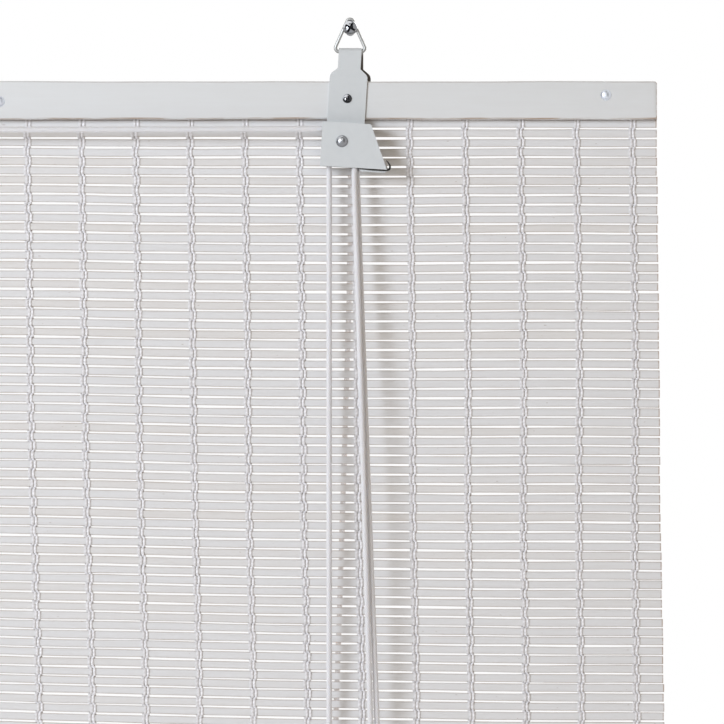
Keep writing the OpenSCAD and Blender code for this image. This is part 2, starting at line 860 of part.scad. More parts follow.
// Mat: rows of slats on two thin core bars, in one piece
function slat_z(i) = z_lath_low - (i + 1) * slat_pitch;
module slat_rows(first, last) {
    edge_x = column_x[0];
    for (i = [first : last])
        translate([-blind_w / 2, y_mat, slat_z(i)])
            cube([blind_w, slat_t, slat_h]);
    for (side = [-1, 1])
        translate([side * edge_x - core_bar_w / 2, y_mat_mid - core_bar_t / 2, slat_z(last) + slat_h / 2])
            cube([core_bar_w, core_bar_t, (last - first) * slat_pitch]);
}
module mat_top() {
    color(white_bamboo)
        difference() {
            slat_rows(-clamped_slats, top_slats - 1);
            head_holes();
        }
}
module mat_fall() {
    color(white_bamboo)
        slat_rows(top_slats, top_slats + fall_slats - 1);
}

// Warp threads: a pair of strands in each column, on the front and the back of the slats
module warp_threads(z_low, z_high) {
    color(white_cord)
        for (x = column_x, y = [y_mat - thread_t, y_mat + slat_t])
            translate([x - thread_w / 2, y, z_low])
                cube([thread_w, thread_t, z_high - z_low]);
}
module warp_threads_top() {
    warp_threads(z_top_end, z_lath_low);
}
module warp_threads_fall() {
    warp_threads(z_roll, z_top_end);
}

// Roll: the wound mat as one spiral strip, grooved between the slats of the outer turn
function in_roll(s, out) = (wound_r(s) + out) * [cos(wound_a(s)), sin(wound_a(s))];
tail_bend_at = (inner_r - tail_bend_r) * [cos(tail_a - tail_bend_a), sin(tail_a - tail_bend_a)];
tail_dir = [cos(tail_a), sin(tail_a)];
function tail_side(out) =
    let (bend = arc(tail_bend_at, tail_bend_r + out, tail_a - tail_bend_a, tail_a + 90, 8))
    concat(
        [for (i = [1 : len(bend) - 1]) bend[i]],
        [-tail_dir * (lath_h / 2 - lath_edge_r) + out * [-tail_dir[1], tail_dir[0]]]
    );
module roll_profile() {
    half = slat_t / 2;
    outside = [
        for (i = [0 : wound_slats - 1])
            let (s = i * slat_pitch)
            each i < grooved_slats
                ? [
                    in_roll(s, half - roll_groove), in_roll(s + slat_gap, half - roll_groove),
                    in_roll(s + slat_gap, half), in_roll(s + slat_pitch, half)
                ]
                : [in_roll(s + slat_pitch, half)]
    ];
    inside = [for (i = [wound_slats : -1 : 0]) in_roll(i * slat_pitch, -half)];
    tail_in = tail_side(-half);
    polygon(concat(
        outside, tail_side(half), [for (i = [len(tail_in) - 1 : -1 : 0]) tail_in[i]], inside
    ));
}
module in_core() {
    translate([0, y_roll, z_roll])
        rotate([tail_a, 0, 0])
            rotate([-90, 0, 0])
                children();
}
module roll_turns() {
    color(white_bamboo)
        difference() {
            translate([0, y_roll, z_roll])
                along_x(-blind_w / 2, blind_w)
                    roll_profile();
            in_core()
                translate([0, -slat_t, -lath_h / 2])
                    nails(nail_d + 2 * fit_gap, 2 * slat_t);
        }
}

// Bottom laths: clamped on the mat's end in the middle of the roll
core_slot = slat_t / 2 + slot_gap;
module core_holes() {
    translate([0, -core_slot - lath_t - cut, -lath_h / 2])
        nails(nail_d + 2 * fit_gap, nail_length + cut + fit_gap);
}
module bottom_lath_front() {
    color(white_paint)
        in_core()
            difference() {
                translate([0, -core_slot, -lath_h / 2])
                    lath();
                core_holes();
            }
}
module bottom_lath_back() {
    color(white_paint)
        in_core()
            difference() {
                translate([0, core_slot + lath_t, -lath_h / 2])
                    lath();
                core_holes();
            }
}
module bottom_nails() {
    color(zinc)
        in_core()
            translate([0, -core_slot - lath_t, -lath_h / 2])
                nail_set();
}

hanging_screw_left();
hanging_screw_right();
hanger_ring_left();
hanger_ring_right();
head_lath_front();
head_lath_back();
head_nails();
lock_strap();
lock_housing();
lock_axle();
lock_wheel();
lock_roller();
lock_strap_screw();
pulley_strap();
pulley_housing();
pulley_axle();
pulley_wheel();
pulley_strap_screw();
left_cord_knot();
left_cord_back();
left_cord_sling();
left_cord_front();
left_cord_cross();
left_cord_pull();
right_cord_knot();
right_cord_back();
right_cord_sling();
right_cord_front();
right_cord_wrap();
right_cord_pull();
pull_knob();
mat_top();
mat_fall();
warp_threads_top();
warp_threads_fall();
roll_turns();
bottom_lath_front();
bottom_lath_back();
bottom_nails();
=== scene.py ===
"""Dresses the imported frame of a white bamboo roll-up blind.

Every piece is in metres in the frame's own axes: X along the blind, Y into the wall, Z up.
"""

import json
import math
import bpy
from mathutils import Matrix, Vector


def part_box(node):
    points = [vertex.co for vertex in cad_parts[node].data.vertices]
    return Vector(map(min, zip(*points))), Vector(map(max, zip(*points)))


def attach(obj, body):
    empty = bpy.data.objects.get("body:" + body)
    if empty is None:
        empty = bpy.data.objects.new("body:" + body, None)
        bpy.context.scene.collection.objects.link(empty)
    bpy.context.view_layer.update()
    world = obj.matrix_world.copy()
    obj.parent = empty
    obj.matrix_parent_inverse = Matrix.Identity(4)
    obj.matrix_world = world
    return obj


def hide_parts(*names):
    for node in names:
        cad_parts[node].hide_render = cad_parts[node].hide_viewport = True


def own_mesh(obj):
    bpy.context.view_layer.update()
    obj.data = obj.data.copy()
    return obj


bl_info = {
    "name": "Bamboo roll-up blind",
    "version": (1, 0, 0),
    "blender": (4, 5, 0),
    "location": "View3D > Sidebar > Blind",
    "description": "Slats, threads, cords, laths and fittings of a bamboo roll-up blind",
    "category": "Object",
}

import bpy
import numpy as np
from bpy.props import FloatProperty, FloatVectorProperty, IntProperty, PointerProperty

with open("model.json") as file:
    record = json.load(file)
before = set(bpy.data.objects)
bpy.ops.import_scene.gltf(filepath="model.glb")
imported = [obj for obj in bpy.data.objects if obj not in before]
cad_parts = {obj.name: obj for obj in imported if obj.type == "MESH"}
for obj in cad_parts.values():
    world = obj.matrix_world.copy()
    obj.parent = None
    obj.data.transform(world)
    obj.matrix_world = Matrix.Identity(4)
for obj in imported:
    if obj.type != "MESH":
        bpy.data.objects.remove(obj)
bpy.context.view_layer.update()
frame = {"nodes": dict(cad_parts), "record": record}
MM = 0.001
TAU = 2 * math.pi


def tint(red, green, blue):
    """A colour given as screen values from 0 to 255, as linear light with alpha."""
    linear = []
    for value in (red, green, blue):
        v = value / 255
        linear.append(v / 12.92 if v <= 0.04045 else ((v + 0.055) / 1.055) ** 2.4)
    return (*linear, 1.0)


def box_of(node):
    """Lowest and highest corner of a node of the frame, as arrays."""
    low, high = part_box(node)
    return np.array(low), np.array(high)


# Places read from the frame
MAT_LOW, MAT_HIGH = box_of("mat_fall")
TOP_LOW, TOP_HIGH = box_of("mat_top")
LATH_LOW = box_of("head_lath_front")[0]
CROSS_LOW, CROSS_HIGH = box_of("left_cord_cross")
WRAP_LOW, WRAP_HIGH = box_of("right_cord_wrap")
SLING_LOW = box_of("left_cord_sling")[0]
LOCK_AXLE = sum(box_of("lock_axle")) / 2
PULLEY_AXLE = sum(box_of("pulley_axle")) / 2
CORD_R = (WRAP_HIGH[1] - WRAP_LOW[1]) / 2
WHEEL_R = (WRAP_HIGH[0] - WRAP_LOW[0]) / 2 - CORD_R
Y_FRONT_GROOVE = (CROSS_LOW[1] + CROSS_HIGH[1]) / 2
Y_BACK_GROOVE = (WRAP_LOW[1] + WRAP_HIGH[1]) / 2
Z_AXLE = WRAP_LOW[2]
HALF_W = MAT_HIGH[0]
Y_MAT = (MAT_LOW[1] + MAT_HIGH[1]) / 2
Z_ROLL = MAT_LOW[2]
SLING_R = Z_ROLL - SLING_LOW[2] - CORD_R
Y_ROLL = SLING_LOW[1] + CORD_R + SLING_R
ROLL_R = Y_ROLL - Y_MAT
SCREWS = frame["record"]["mounts"][0]["dims"]
STUD_R = SCREWS["stud_r_mm"] * MM
HANGER_X = SCREWS["spacing_x_mm"] / 2 * MM
SCREW_FRONT = box_of("hanging_screw_right")[0][1]
# lower right corner of the lock's front plate, along X and Z, which no box of the frame gives
HOUSING_CORNER = np.array([176.73, -65.02]) * MM


def length_prop(name, text, value):
    return FloatProperty(
        name=name, description=text, default=value, unit="LENGTH", subtype="DISTANCE", precision=5)


def colour_prop(name, text, value):
    return FloatVectorProperty(
        name=name, description=text, default=value, subtype="COLOR", size=4, min=0, max=1)


class BlindMat(bpy.types.PropertyGroup):
    slat_height: length_prop("Slat height", "Height of one slat", 3.54 * MM)
    slat_pitch: length_prop("Slat pitch", "Distance from one slat to the next", 4.35 * MM)
    slat_thickness: length_prop("Slat thickness", "Thickness of one slat", 1.2 * MM)
    droop: length_prop("Droop", "Most that the slats sink towards the right end", 4.5 * MM)
    lean: length_prop("Lean", "Sideways drift of the threads at the bottom of the hanging mat", 3.3 * MM)
    warp_pitch: length_prop("Thread pitch", "Distance between two columns of warp threads", 25 * MM)
    strand_width: length_prop("Strand width", "Width of one strand of warp thread", 1.5 * MM)
    strand_thickness: length_prop("Strand thickness", "Thickness of one strand of warp thread", 0.36 * MM)
    turn_pitch: length_prop("Turn pitch", "Distance between two turns of the roll", 2.2 * MM)
    wound_slats: IntProperty(
        name="Wound slats", description="Number of slats in the roll", default=92, min=40)
    seed: IntProperty(name="Seed", description="Seed of the slats' irregularities", default=7)


class BlindColours(bpy.types.PropertyGroup):
    slat_paint: colour_prop("Slat paint", "White paint on the slats", tint(217, 216, 217))
    lath_paint: colour_prop("Lath paint", "White paint on the laths", tint(215, 216, 217))
    raw_bamboo: colour_prop("Raw bamboo", "Bamboo where the paint is thin", tint(158, 126, 96))
    beige: colour_prop("Beige", "Tint of the paler painted streaks", tint(213, 206, 199))
    steel_paint: colour_prop("Steel paint", "Satin paint on the brackets", tint(203, 206, 208))
    cord: colour_prop("Cord", "White braided cord", tint(227, 226, 229))
    thread: colour_prop("Thread", "White warp thread", tint(241, 239, 242))


class BlindStage(bpy.types.PropertyGroup):
    view_x: length_prop("View X", "Middle of the picture along the blind", 165.4 * MM)
    view_z: length_prop("View Z", "Middle of the picture in height", -152.5 * MM)
    view_width: length_prop("View width", "Width of the picture at the mat", 330.9 * MM)
    distance: length_prop("Distance", "Distance from the camera to the mat", 3.0)
    floor_drop: length_prop("Floor", "Depth of the floor below the roll", 0.2)
    key: FloatProperty(name="Key", description="Strength of the key lamp", default=34.5, unit="POWER")
    sky: FloatProperty(name="Sky", description="Strength of the even light", default=0.34)
    back: FloatProperty(name="Back", description="Strength of the lamp behind", default=40.0, unit="POWER")


# Meshes


def quad_mesh(name, points, quads):
    mesh = bpy.data.meshes.new(name)
    mesh.vertices.add(len(points))
    mesh.vertices.foreach_set("co", np.asarray(points, np.float32).ravel())
    quads = np.asarray(quads, np.int32)
    mesh.loops.add(quads.size)
    mesh.loops.foreach_set("vertex_index", quads.ravel())
    mesh.polygons.add(len(quads))
    mesh.polygons.foreach_set("loop_start", np.arange(0, quads.size, 4, dtype=np.int32))
    mesh.polygons.foreach_set("use_smooth", np.full(len(quads), True))
    mesh.update(calc_edges=True)
    mesh.validate()
    return mesh


def point_value(mesh, name, values):
    layer = mesh.attributes.new(name, "FLOAT", "POINT")
    layer.data.foreach_set("value", np.asarray(values, np.float32))


def corner_uv(mesh, uv):
    """A UV map from one coordinate pair for each vertex."""
    layer = mesh.uv_layers.new(name="grain")
    corners = np.zeros(len(mesh.loops), np.int32)
    mesh.loops.foreach_get("vertex_index", corners)
    layer.data.foreach_set("uv", np.asarray(uv, np.float32)[corners].ravel())


def lofted_quads(rings, sides, start=0):
    """Quads of a tube of rings with an even number of sides, with capped ends."""
    i = np.arange(rings - 1)[:, None] * sides
    k = np.arange(sides)[None, :]
    n = (k + 1) % sides
    quads = np.stack([i + k, i + n, i + sides + n, i + sides + k], -1).reshape(-1, 4)
    low = np.array([[j, sides - 1 - j, sides - 2 - j, j + 1] for j in range(sides // 2 - 1)])
    high = low[:, ::-1] + (rings - 1) * sides
    return np.concatenate([quads, low, high]) + start


def ring_mesh(name, rings, sharp=0):
    """A capped tube through rings of points; edges over an angle in degrees stay sharp, if one is given."""
    count, sides = rings.shape[:2]
    mesh = quad_mesh(name, rings.reshape(-1, 3), lofted_quads(count, sides))
    if sharp:
        mesh.set_sharp_from_angle(angle=math.radians(sharp))
    return mesh


def distances(points):
    """How far along a route each of its points is."""
    return np.concatenate([[0], np.cumsum(np.linalg.norm(np.diff(points, axis=0), axis=1))])


def add_piece(name, mesh, body, material, stands_for=()):
    mesh.materials.append(material)
    piece = bpy.data.objects.new(name, mesh)
    bpy.context.scene.collection.objects.link(piece)
    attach(piece, body)
    if stands_for:
        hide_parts(*stands_for)
    return piece


def shorten(piece):
    """Gives the piece its own copy of its mesh."""
    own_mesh(piece)


# Shader nodes


def add_node(tree, kind, settings=None, **inputs):
    made = tree.nodes.new(kind)
    for key, value in (settings or {}).items():
        setattr(made, key, value)
    for key, value in inputs.items():
        plug(tree, made.inputs[key.replace("_", " ")], value)
    return made


def plug(tree, socket, value):
    if isinstance(value, bpy.types.NodeSocket):
        tree.links.new(value, socket)
    else:
        socket.default_value = value


def maths(tree, operation, *values):
    made = tree.nodes.new("ShaderNodeMath")
    made.operation = operation
    for socket, value in zip(made.inputs, values):
        plug(tree, socket, value)
    return made.outputs[0]


def vectors(tree, operation, *values):
    made = add_node(tree, "ShaderNodeVectorMath", {"operation": operation})
    for socket, value in zip(made.inputs, values):
        plug(tree, socket, value)
    return made.outputs


def stretched(tree, vector, scale):
    return vectors(tree, "MULTIPLY", vector, scale)["Vector"]


def part_of(tree, vector, axis):
    return add_node(tree, "ShaderNodeSeparateXYZ", Vector=vector).outputs[axis]


def blend_colour(tree, share, a, b):
    made = tree.nodes.new("ShaderNodeMix")
    made.data_type = "RGBA"
    for k, value in ((0, share), (6, a), (7, b)):
        plug(tree, made.inputs[k], value)
    return made.outputs[2]


def tinted(tree, base, mask, amount, colour):
    """The base, with an amount of a colour where the mask is."""
    return blend_colour(tree, maths(tree, "MULTIPLY", mask, amount), base, colour)


def band(tree, value, low, high):
    """Zero below low, one above high, smooth between."""
    made = add_node(tree, "ShaderNodeMapRange", {"interpolation_type": "SMOOTHSTEP"})
    for key, v in (("Value", value), ("From Min", low), ("From Max", high)):
        plug(tree, made.inputs[key], v)
    return made.outputs["Result"]


def noise(tree, vector, scale, detail=3.0, rough=0.55):
    made = add_node(tree, "ShaderNodeTexNoise", Vector=vector, Scale=scale, Detail=detail, Roughness=rough)
    return made.outputs["Fac"]


def grain_uv(tree):
    return add_node(tree, "ShaderNodeUVMap", {"uv_map": "grain"}).outputs[0]


def point_read(tree, name):
    return add_node(tree, "ShaderNodeAttribute", {"attribute_name": name}).outputs["Fac"]


# Shader groups


def shared_group(name, inputs, outputs):
    """Turns a function that fills a shader group into one that makes the group once.

    inputs gives each input its default, or None for a vector. The function is handed the group and its
    inputs, and gives back one value for each of the outputs.
    """
    def wrap(fill):
        def made_once():
            if name in bpy.data.node_groups:
                return bpy.data.node_groups[name]
            group = bpy.data.node_groups.new(name, "ShaderNodeTree")
            for label, value in inputs.items():
                kind = "NodeSocketVector" if value is None else "NodeSocketFloat"
                socket = group.interface.new_socket(name=label, in_out="INPUT", socket_type=kind)
                if value is not None:
                    socket.default_value = value
            for label in outputs:
                group.interface.new_socket(name=label, in_out="OUTPUT", socket_type="NodeSocketFloat")
            ins, outs = group.nodes.new("NodeGroupInput"), group.nodes.new("NodeGroupOutput")
            for label, value in zip(outputs, fill(group, ins.outputs)):
                group.links.new(value, outs.inputs[label])
            return group
        return made_once
    return wrap


def use_group(tree, group, **inputs):
    made = tree.nodes.new("ShaderNodeGroup")
    made.node_tree = group
    for key, value in inputs.items():
        plug(tree, made.inputs[key], value)
    return made.outputs


@shared_group(
    "Bamboo Streaks", {"Vector": None, "Fibre": 30.0, "Stain": 3.0}, ("Fibres", "Stains", "Specks", "Height"))
def bamboo_streaks(group, ins):
    """Lengthwise grain of split bamboo under paint: fibres, soft stains and dark specks."""
    fibres = noise(group, stretched(group, ins["Vector"], (0.06, 1.0, 1.0)), ins["Fibre"], 4.0, 0.6)
    stains = noise(group, stretched(group, ins["Vector"], (0.12, 1.0, 1.0)), ins["Stain"], 2.0)
    spots = noise(group, stretched(group, ins["Vector"], (0.35, 1.0, 1.0)), 9.0, 1.0, 0.4)
    specks = band(group, spots, 0.775, 0.81)
    height = maths(group, "SUBTRACT", fibres, maths(group, "MULTIPLY", specks, 0.4))
    return fibres, stains, specks, height


@shared_group("Thin Paint", {"Vector": None, "Edge": 0.0, "Amount": 0.5}, ("Mask",))
def thin_paint(group, ins):
    """Where the paint is thin along an edge and the bamboo shows through."""
    patches = noise(group, stretched(group, ins["Vector"], (0.25, 1.0, 1.0)), 1.7, 3.0, 0.65)
    limit = maths(group, "SUBTRACT", 1.0, ins["Amount"])
    low = maths(group, "MULTIPLY", limit, 0.75)
    high = maths(group, "MULTIPLY_ADD", limit, 0.75, 0.3)
    near = band(group, ins["Edge"], 0.45, 1.0)
    return [maths(group, "MULTIPLY", band(group, patches, low, high), near)]


@shared_group("Worn Edge", {"Radius": 0.0004, "Vector": None}, ("Mask",))
def worn_edge(group, ins):
    """Sharp edges of sheet metal, where paint or plating is rubbed."""
    rounded = add_node(group, "ShaderNodeBevel", {"samples": 4}, Radius=ins["Radius"]).outputs["Normal"]
    plain = add_node(group, "ShaderNodeNewGeometry").outputs["Normal"]
    same = vectors(group, "DOT_PRODUCT", rounded, plain)["Value"]
    edge = band(group, maths(group, "SUBTRACT", 1.0, same), 0.02, 0.2)
    rubbed = band(group, noise(group, ins["Vector"], 900.0), 0.38, 0.62)
    return [maths(group, "MULTIPLY", edge, rubbed)]


@shared_group("Recess Painted Shade", {"Reach": 0.0012}, ("Mask",))
def recess_shade(group, ins):
    """Painted shade: dark corners of slots and recesses in small steel pieces."""
    settings = {"samples": 8, "only_local": True}
    shade = add_node(group, "ShaderNodeAmbientOcclusion", settings, Distance=ins["Reach"]).outputs["AO"]
    return [band(group, shade, 0.85, 0.35)]


@shared_group("Lee Painted Shadow", {"Reach": 0.0015, "Facing": None}, ("Mask",))
def lee_shadow(group, ins):
    """Painted shadow on the right of whatever stands on a lath."""
    aim = add_node(group, "ShaderNodeCombineXYZ", X=-0.75, Y=-0.63, Z=0.2).outputs[0]
    shade = add_node(group, "ShaderNodeAmbientOcclusion", {"samples": 8}, Distance=ins["Reach"], Normal=aim)
    front = band(group, part_of(group, ins["Facing"], "Y"), -0.9, -0.98)
    return [maths(group, "MULTIPLY", band(group, shade.outputs["AO"], 0.5, 0.2), front)]


@shared_group("Painted Room Reflection", {"Facing": None}, ("Mask",))
def painted_room_reflection(group, ins):
    """Painted reflection of the dark parts of the room in small bright steel: all but what faces the light at
    the upper left.
    """
    toward = vectors(group, "DOT_PRODUCT", ins["Facing"], (-0.45, -0.8, 0.4))["Value"]
    blot = maths(group, "MULTIPLY_ADD", noise(group, ins["Facing"], 2.4, 1.0), 0.5, -0.25)
    return [band(group, maths(group, "ADD", toward, blot), 0.87, 0.77)]


@shared_group("Cross Slot", {"Place": None, "Wide": 0.001, "Long": 0.005}, ("Mask",))
def cross_slot(group, ins):
    """Painted shade in the cross recess of the heads of the two hanging screws."""
    place = add_node(group, "ShaderNodeSeparateXYZ", Vector=ins["Place"]).outputs
    x = maths(group, "MULTIPLY_ADD", maths(group, "SIGN", place["X"]), -HANGER_X, place["X"])
    turn = math.radians(30)
    arms = []
    for c, s in ((math.cos(turn), -math.sin(turn)), (math.sin(turn), math.cos(turn))):
        along = maths(group, "MULTIPLY_ADD", place["Z"], s, maths(group, "MULTIPLY", x, c))
        arms.append(maths(group, "ABSOLUTE", along))
    half_wide = maths(group, "MULTIPLY", ins["Wide"], 0.5)
    half_long = maths(group, "MULTIPLY", ins["Long"], 0.5)
    bars = []
    for along, across in (arms, arms[::-1]):
        inside = band(group, maths(group, "DIVIDE", across, half_wide), 1.0, 0.7)
        within = band(group, maths(group, "DIVIDE", along, half_long), 1.0, 0.9)
        bars.append(maths(group, "MULTIPLY", inside, within))
    head = band(group, maths(group, "SUBTRACT", place["Y"], SCREW_FRONT), 2.2 * MM, 1.8 * MM)
    return [maths(group, "MULTIPLY", maths(group, "MAXIMUM", *bars), head)]


@shared_group("Inner Face", {"Place": None, "Facing": None, "Depth": 0.0}, ("Mask",))
def inner_face(group, ins):
    """Faces behind a depth that look to the room: painted shade on the inside of a bent strap."""
    past = maths(group, "SUBTRACT", part_of(group, ins["Place"], "Y"), ins["Depth"])
    to_room = band(group, part_of(group, ins["Facing"], "Y"), 0.3, -0.3)
    return [maths(group, "MULTIPLY", band(group, past, -0.004, -0.002), to_room)]


@shared_group("Metal Grain", {"Vector": None, "Scale": 2000.0}, ("Cloud", "Scratches", "Height"))
def metal_grain(group, ins):
    """Fine scratches and cloudy plating on small steel pieces."""
    cloud = noise(group, ins["Vector"], maths(group, "MULTIPLY", ins["Scale"], 0.2))
    lines = noise(group, stretched(group, ins["Vector"], (1.0, 0.15, 4.0)), ins["Scale"], 2.0, 0.7)
    return cloud, lines, maths(group, "MULTIPLY_ADD", cloud, 0.6, lines)


@shared_group("Plied Yarn", {"Vector": None, "Plies": 1.0}, ("Plies", "Fuzz", "Height"))
def plied_yarn(group, ins):
    """Twisted plies and loose fibres of cord and thread, along U with V round the strand."""
    parts = add_node(group, "ShaderNodeSeparateXYZ", Vector=ins["Vector"]).outputs
    slope = maths(group, "ADD", parts["X"], parts["Y"])
    turn = maths(group, "MULTIPLY", slope, maths(group, "MULTIPLY", ins["Plies"], TAU))
    wave = maths(group, "MULTIPLY_ADD", maths(group, "SINE", turn), 0.5, 0.5)
    fuzz = noise(group, stretched(group, ins["Vector"], (7.0, 9.0, 1.0)), 3.0, 3.0, 0.7)
    return wave, fuzz, maths(group, "ADD", wave, maths(group, "MULTIPLY", fuzz, 0.7))


# Finishes


def start_material(name):
    """A new material and its tree and Principled shader."""
    material = bpy.data.materials.new(name)
    material.use_nodes = True
    tree = material.node_tree
    tree.nodes.clear()
    out = tree.nodes.new("ShaderNodeOutputMaterial")
    shader = tree.nodes.new("ShaderNodeBsdfPrincipled")
    tree.links.new(shader.outputs[0], out.inputs["Surface"])
    return material, tree, shader


def link_finish(tree, shader, base, rough, height, distance, strength):
    """Links a colour, a roughness (a value, its share and the least) and a bump to a shader."""
    tree.links.new(base, shader.inputs["Base Color"])
    tree.links.new(maths(tree, "MULTIPLY_ADD", *rough), shader.inputs["Roughness"])
    bump = add_node(tree, "ShaderNodeBump", Height=height, Distance=distance, Strength=strength)
    tree.links.new(bump.outputs[0], shader.inputs["Normal"])


def set_inputs(shader, values):
    for key, value in values.items():
        shader.inputs[key].default_value = value


def seen_rays(tree):
    """One where the camera looks, directly, in metal or through glass."""
    ray = add_node(tree, "ShaderNodeLightPath").outputs
    seen = maths(tree, "MAXIMUM", ray["Is Camera Ray"], ray["Is Glossy Ray"])
    return maths(tree, "MAXIMUM", seen, ray["Is Transmission Ray"])


def painted_bamboo(name):
    """Matt white paint over split bamboo, for slats."""
    colours = bpy.context.scene.blind_colours
    material, tree, shader = start_material(name)
    uv, edge, tone = grain_uv(tree), point_read(tree, "edge"), point_read(tree, "tone")
    grain = use_group(tree, bamboo_streaks(), Vector=uv, Fibre=5.0, Stain=0.55)
    thin = use_group(tree, thin_paint(), Vector=uv, Edge=edge, Amount=0.58)["Mask"]
    stain = band(tree, maths(tree, "ADD", grain["Stains"], tone), 0.55, 1.1)
    base = tinted(tree, tuple(colours.slat_paint), stain, 0.4, tuple(colours.beige))
    base = tinted(tree, base, band(tree, grain["Fibres"], 0.45, 0.75), 0.16, tint(188, 182, 176))
    # greyer towards the slats' edges: painted shade where they turn into the gaps
    base = tinted(tree, base, edge, 0.16, tint(172, 164, 157))
    base = tinted(tree, base, thin, 0.6, tuple(colours.raw_bamboo))
    base = tinted(tree, base, grain["Specks"], 0.6, tint(140, 118, 100))
    link_finish(tree, shader, base, (grain["Fibres"], 0.2, 0.48), grain["Height"], 0.08 * MM, 0.7)
    return material


def painted_lath(name):
    """Satin white paint over a sawn lath, brown along its thin edges."""
    colours = bpy.context.scene.blind_colours
    material, tree, shader = start_material(name)
    coordinates = add_node(tree, "ShaderNodeTexCoord").outputs
    scaled = stretched(tree, coordinates["Object"], (100.0, 100.0, 230.0))
    grain = use_group(tree, bamboo_streaks(), Vector=scaled, Fibre=1.6, Stain=0.25)
    thin = use_group(tree, thin_paint(), Vector=scaled, Edge=point_read(tree, "edge"), Amount=0.55)["Mask"]
    lee = use_group(tree, lee_shadow(), Reach=1.6 * MM, Facing=coordinates["Normal"])["Mask"]
    fibre = band(tree, grain["Fibres"], 0.5, 0.8)
    base = tinted(tree, tuple(colours.lath_paint), fibre, 0.06, tint(192, 191, 190))
    base = tinted(tree, base, band(tree, grain["Stains"], 0.5, 0.85), 0.2, tint(212, 211, 209))
    base = tinted(tree, base, thin, 0.8, tuple(colours.raw_bamboo))
    # painted brown shadow to the right of what stands on the lath
    base = tinted(tree, base, lee, 0.85, tint(84, 66, 52))
    link_finish(tree, shader, base, (grain["Fibres"], 0.2, 0.40), grain["Height"], 0.12 * MM, 0.5)
    return material


def yarn(name, colour, plies, bump, glow):
    """Soft white yarn with its twist; light passes into it by its glow."""
    material, tree, shader = start_material(name)
    twist = use_group(tree, plied_yarn(), Vector=grain_uv(tree), Plies=plies)
    between = maths(tree, "SUBTRACT", 1.0, twist["Plies"])
    # painted shade in the grooves between the plies
    base = tinted(tree, colour, between, 0.28, tint(176, 172, 170))
    base = tinted(tree, base, band(tree, twist["Fuzz"], 0.5, 0.8), 0.3, tint(235, 234, 236))
    base = tinted(tree, base, point_read(tree, "tone"), 0.5, tint(190, 186, 184))
    link_finish(tree, shader, base, (twist["Fuzz"], 0.2, 0.62), twist["Height"], bump, 0.8)
    set_inputs(shader, {
        "Subsurface Weight": glow, "Subsurface Radius": (0.9, 0.95, 1.0), "Subsurface Scale": 2.2 * MM,
        "Sheen Weight": 0.25, "Sheen Roughness": 0.5,
    })
    return material


def white_cord(name):
    return yarn(name, tuple(bpy.context.scene.blind_colours.cord), 2.0, 0.15 * MM, 0.85)


def warp_yarn(name):
    return yarn(name, tuple(bpy.context.scene.blind_colours.thread), 1.0, 0.12 * MM, 0.0)


def painted_steel(name):
    """Satin white paint on bent sheet steel, with rubbed edges."""
    colours = bpy.context.scene.blind_colours
    material, tree, shader = start_material(name)
    coordinates = add_node(tree, "ShaderNodeTexCoord").outputs
    place = coordinates["Object"]
    rub = use_group(tree, worn_edge(), Radius=0.5 * MM, Vector=place)["Mask"]
    grain = use_group(tree, metal_grain(), Vector=place, Scale=1500.0)
    inner = use_group(tree, inner_face(), Place=place, Facing=coordinates["Normal"], Depth=Y_MAT)["Mask"]
    mottle = band(tree, grain["Cloud"], 0.42, 0.7)
    base = tinted(tree, tuple(colours.steel_paint), mottle, 0.22, tint(194, 198, 201))
    base = tinted(tree, base, rub, 0.55, tint(222, 222, 221))
    # painted deep shade on the inside of the strap's back leg
    base = tinted(tree, base, inner, 0.85, tint(74, 60, 50))
    link_finish(tree, shader, base, (grain["Cloud"], 0.22, 0.30), grain["Height"], 0.03 * MM, 0.35)
    set_inputs(shader, {"Coat Weight": 0.15, "Coat Roughness": 0.25})
    return material


# Plated steels: colour, least roughness, bump, painted shade of the rim, share of the painted reflection of
# the dark room, share of the painted shade in the cross
PLATINGS = {
    "chrome_screw": (tint(222, 224, 228), 0.03, 0.01 * MM, 0.85, 0.62, 0.95),
    "zinc_ring_wire": (tint(186, 185, 182), 0.40, 0.03 * MM, 0.5, 0.2, 0.0),
    "silver_nails": (tint(224, 228, 236), 0.22, 0.04 * MM, 0.75, 0.05, 0.0),
    "zinc_rivet": (tint(200, 201, 204), 0.14, 0.03 * MM, 0.6, 0.5, 0.0),
    # the strap screws: bright plating, darkened by the painted reflection of the dark room
    "strap_screw_painted_reflection": (tint(225, 226, 230), 0.06, 0.03 * MM, 0.85, 0.93, 0.0),
    # the curl: dark steel, with a strip along the plate's bottom painted as the shade of the gap under it
    "dark_curl_and_gap_shade": (tint(58, 56, 54), 0.12, 0.02 * MM, 0.3, 0.2, 0.0),
    "zinc_roller": (tint(186, 187, 190), 0.2, 0.04 * MM, 0.5, 0.2, 0.0),
}


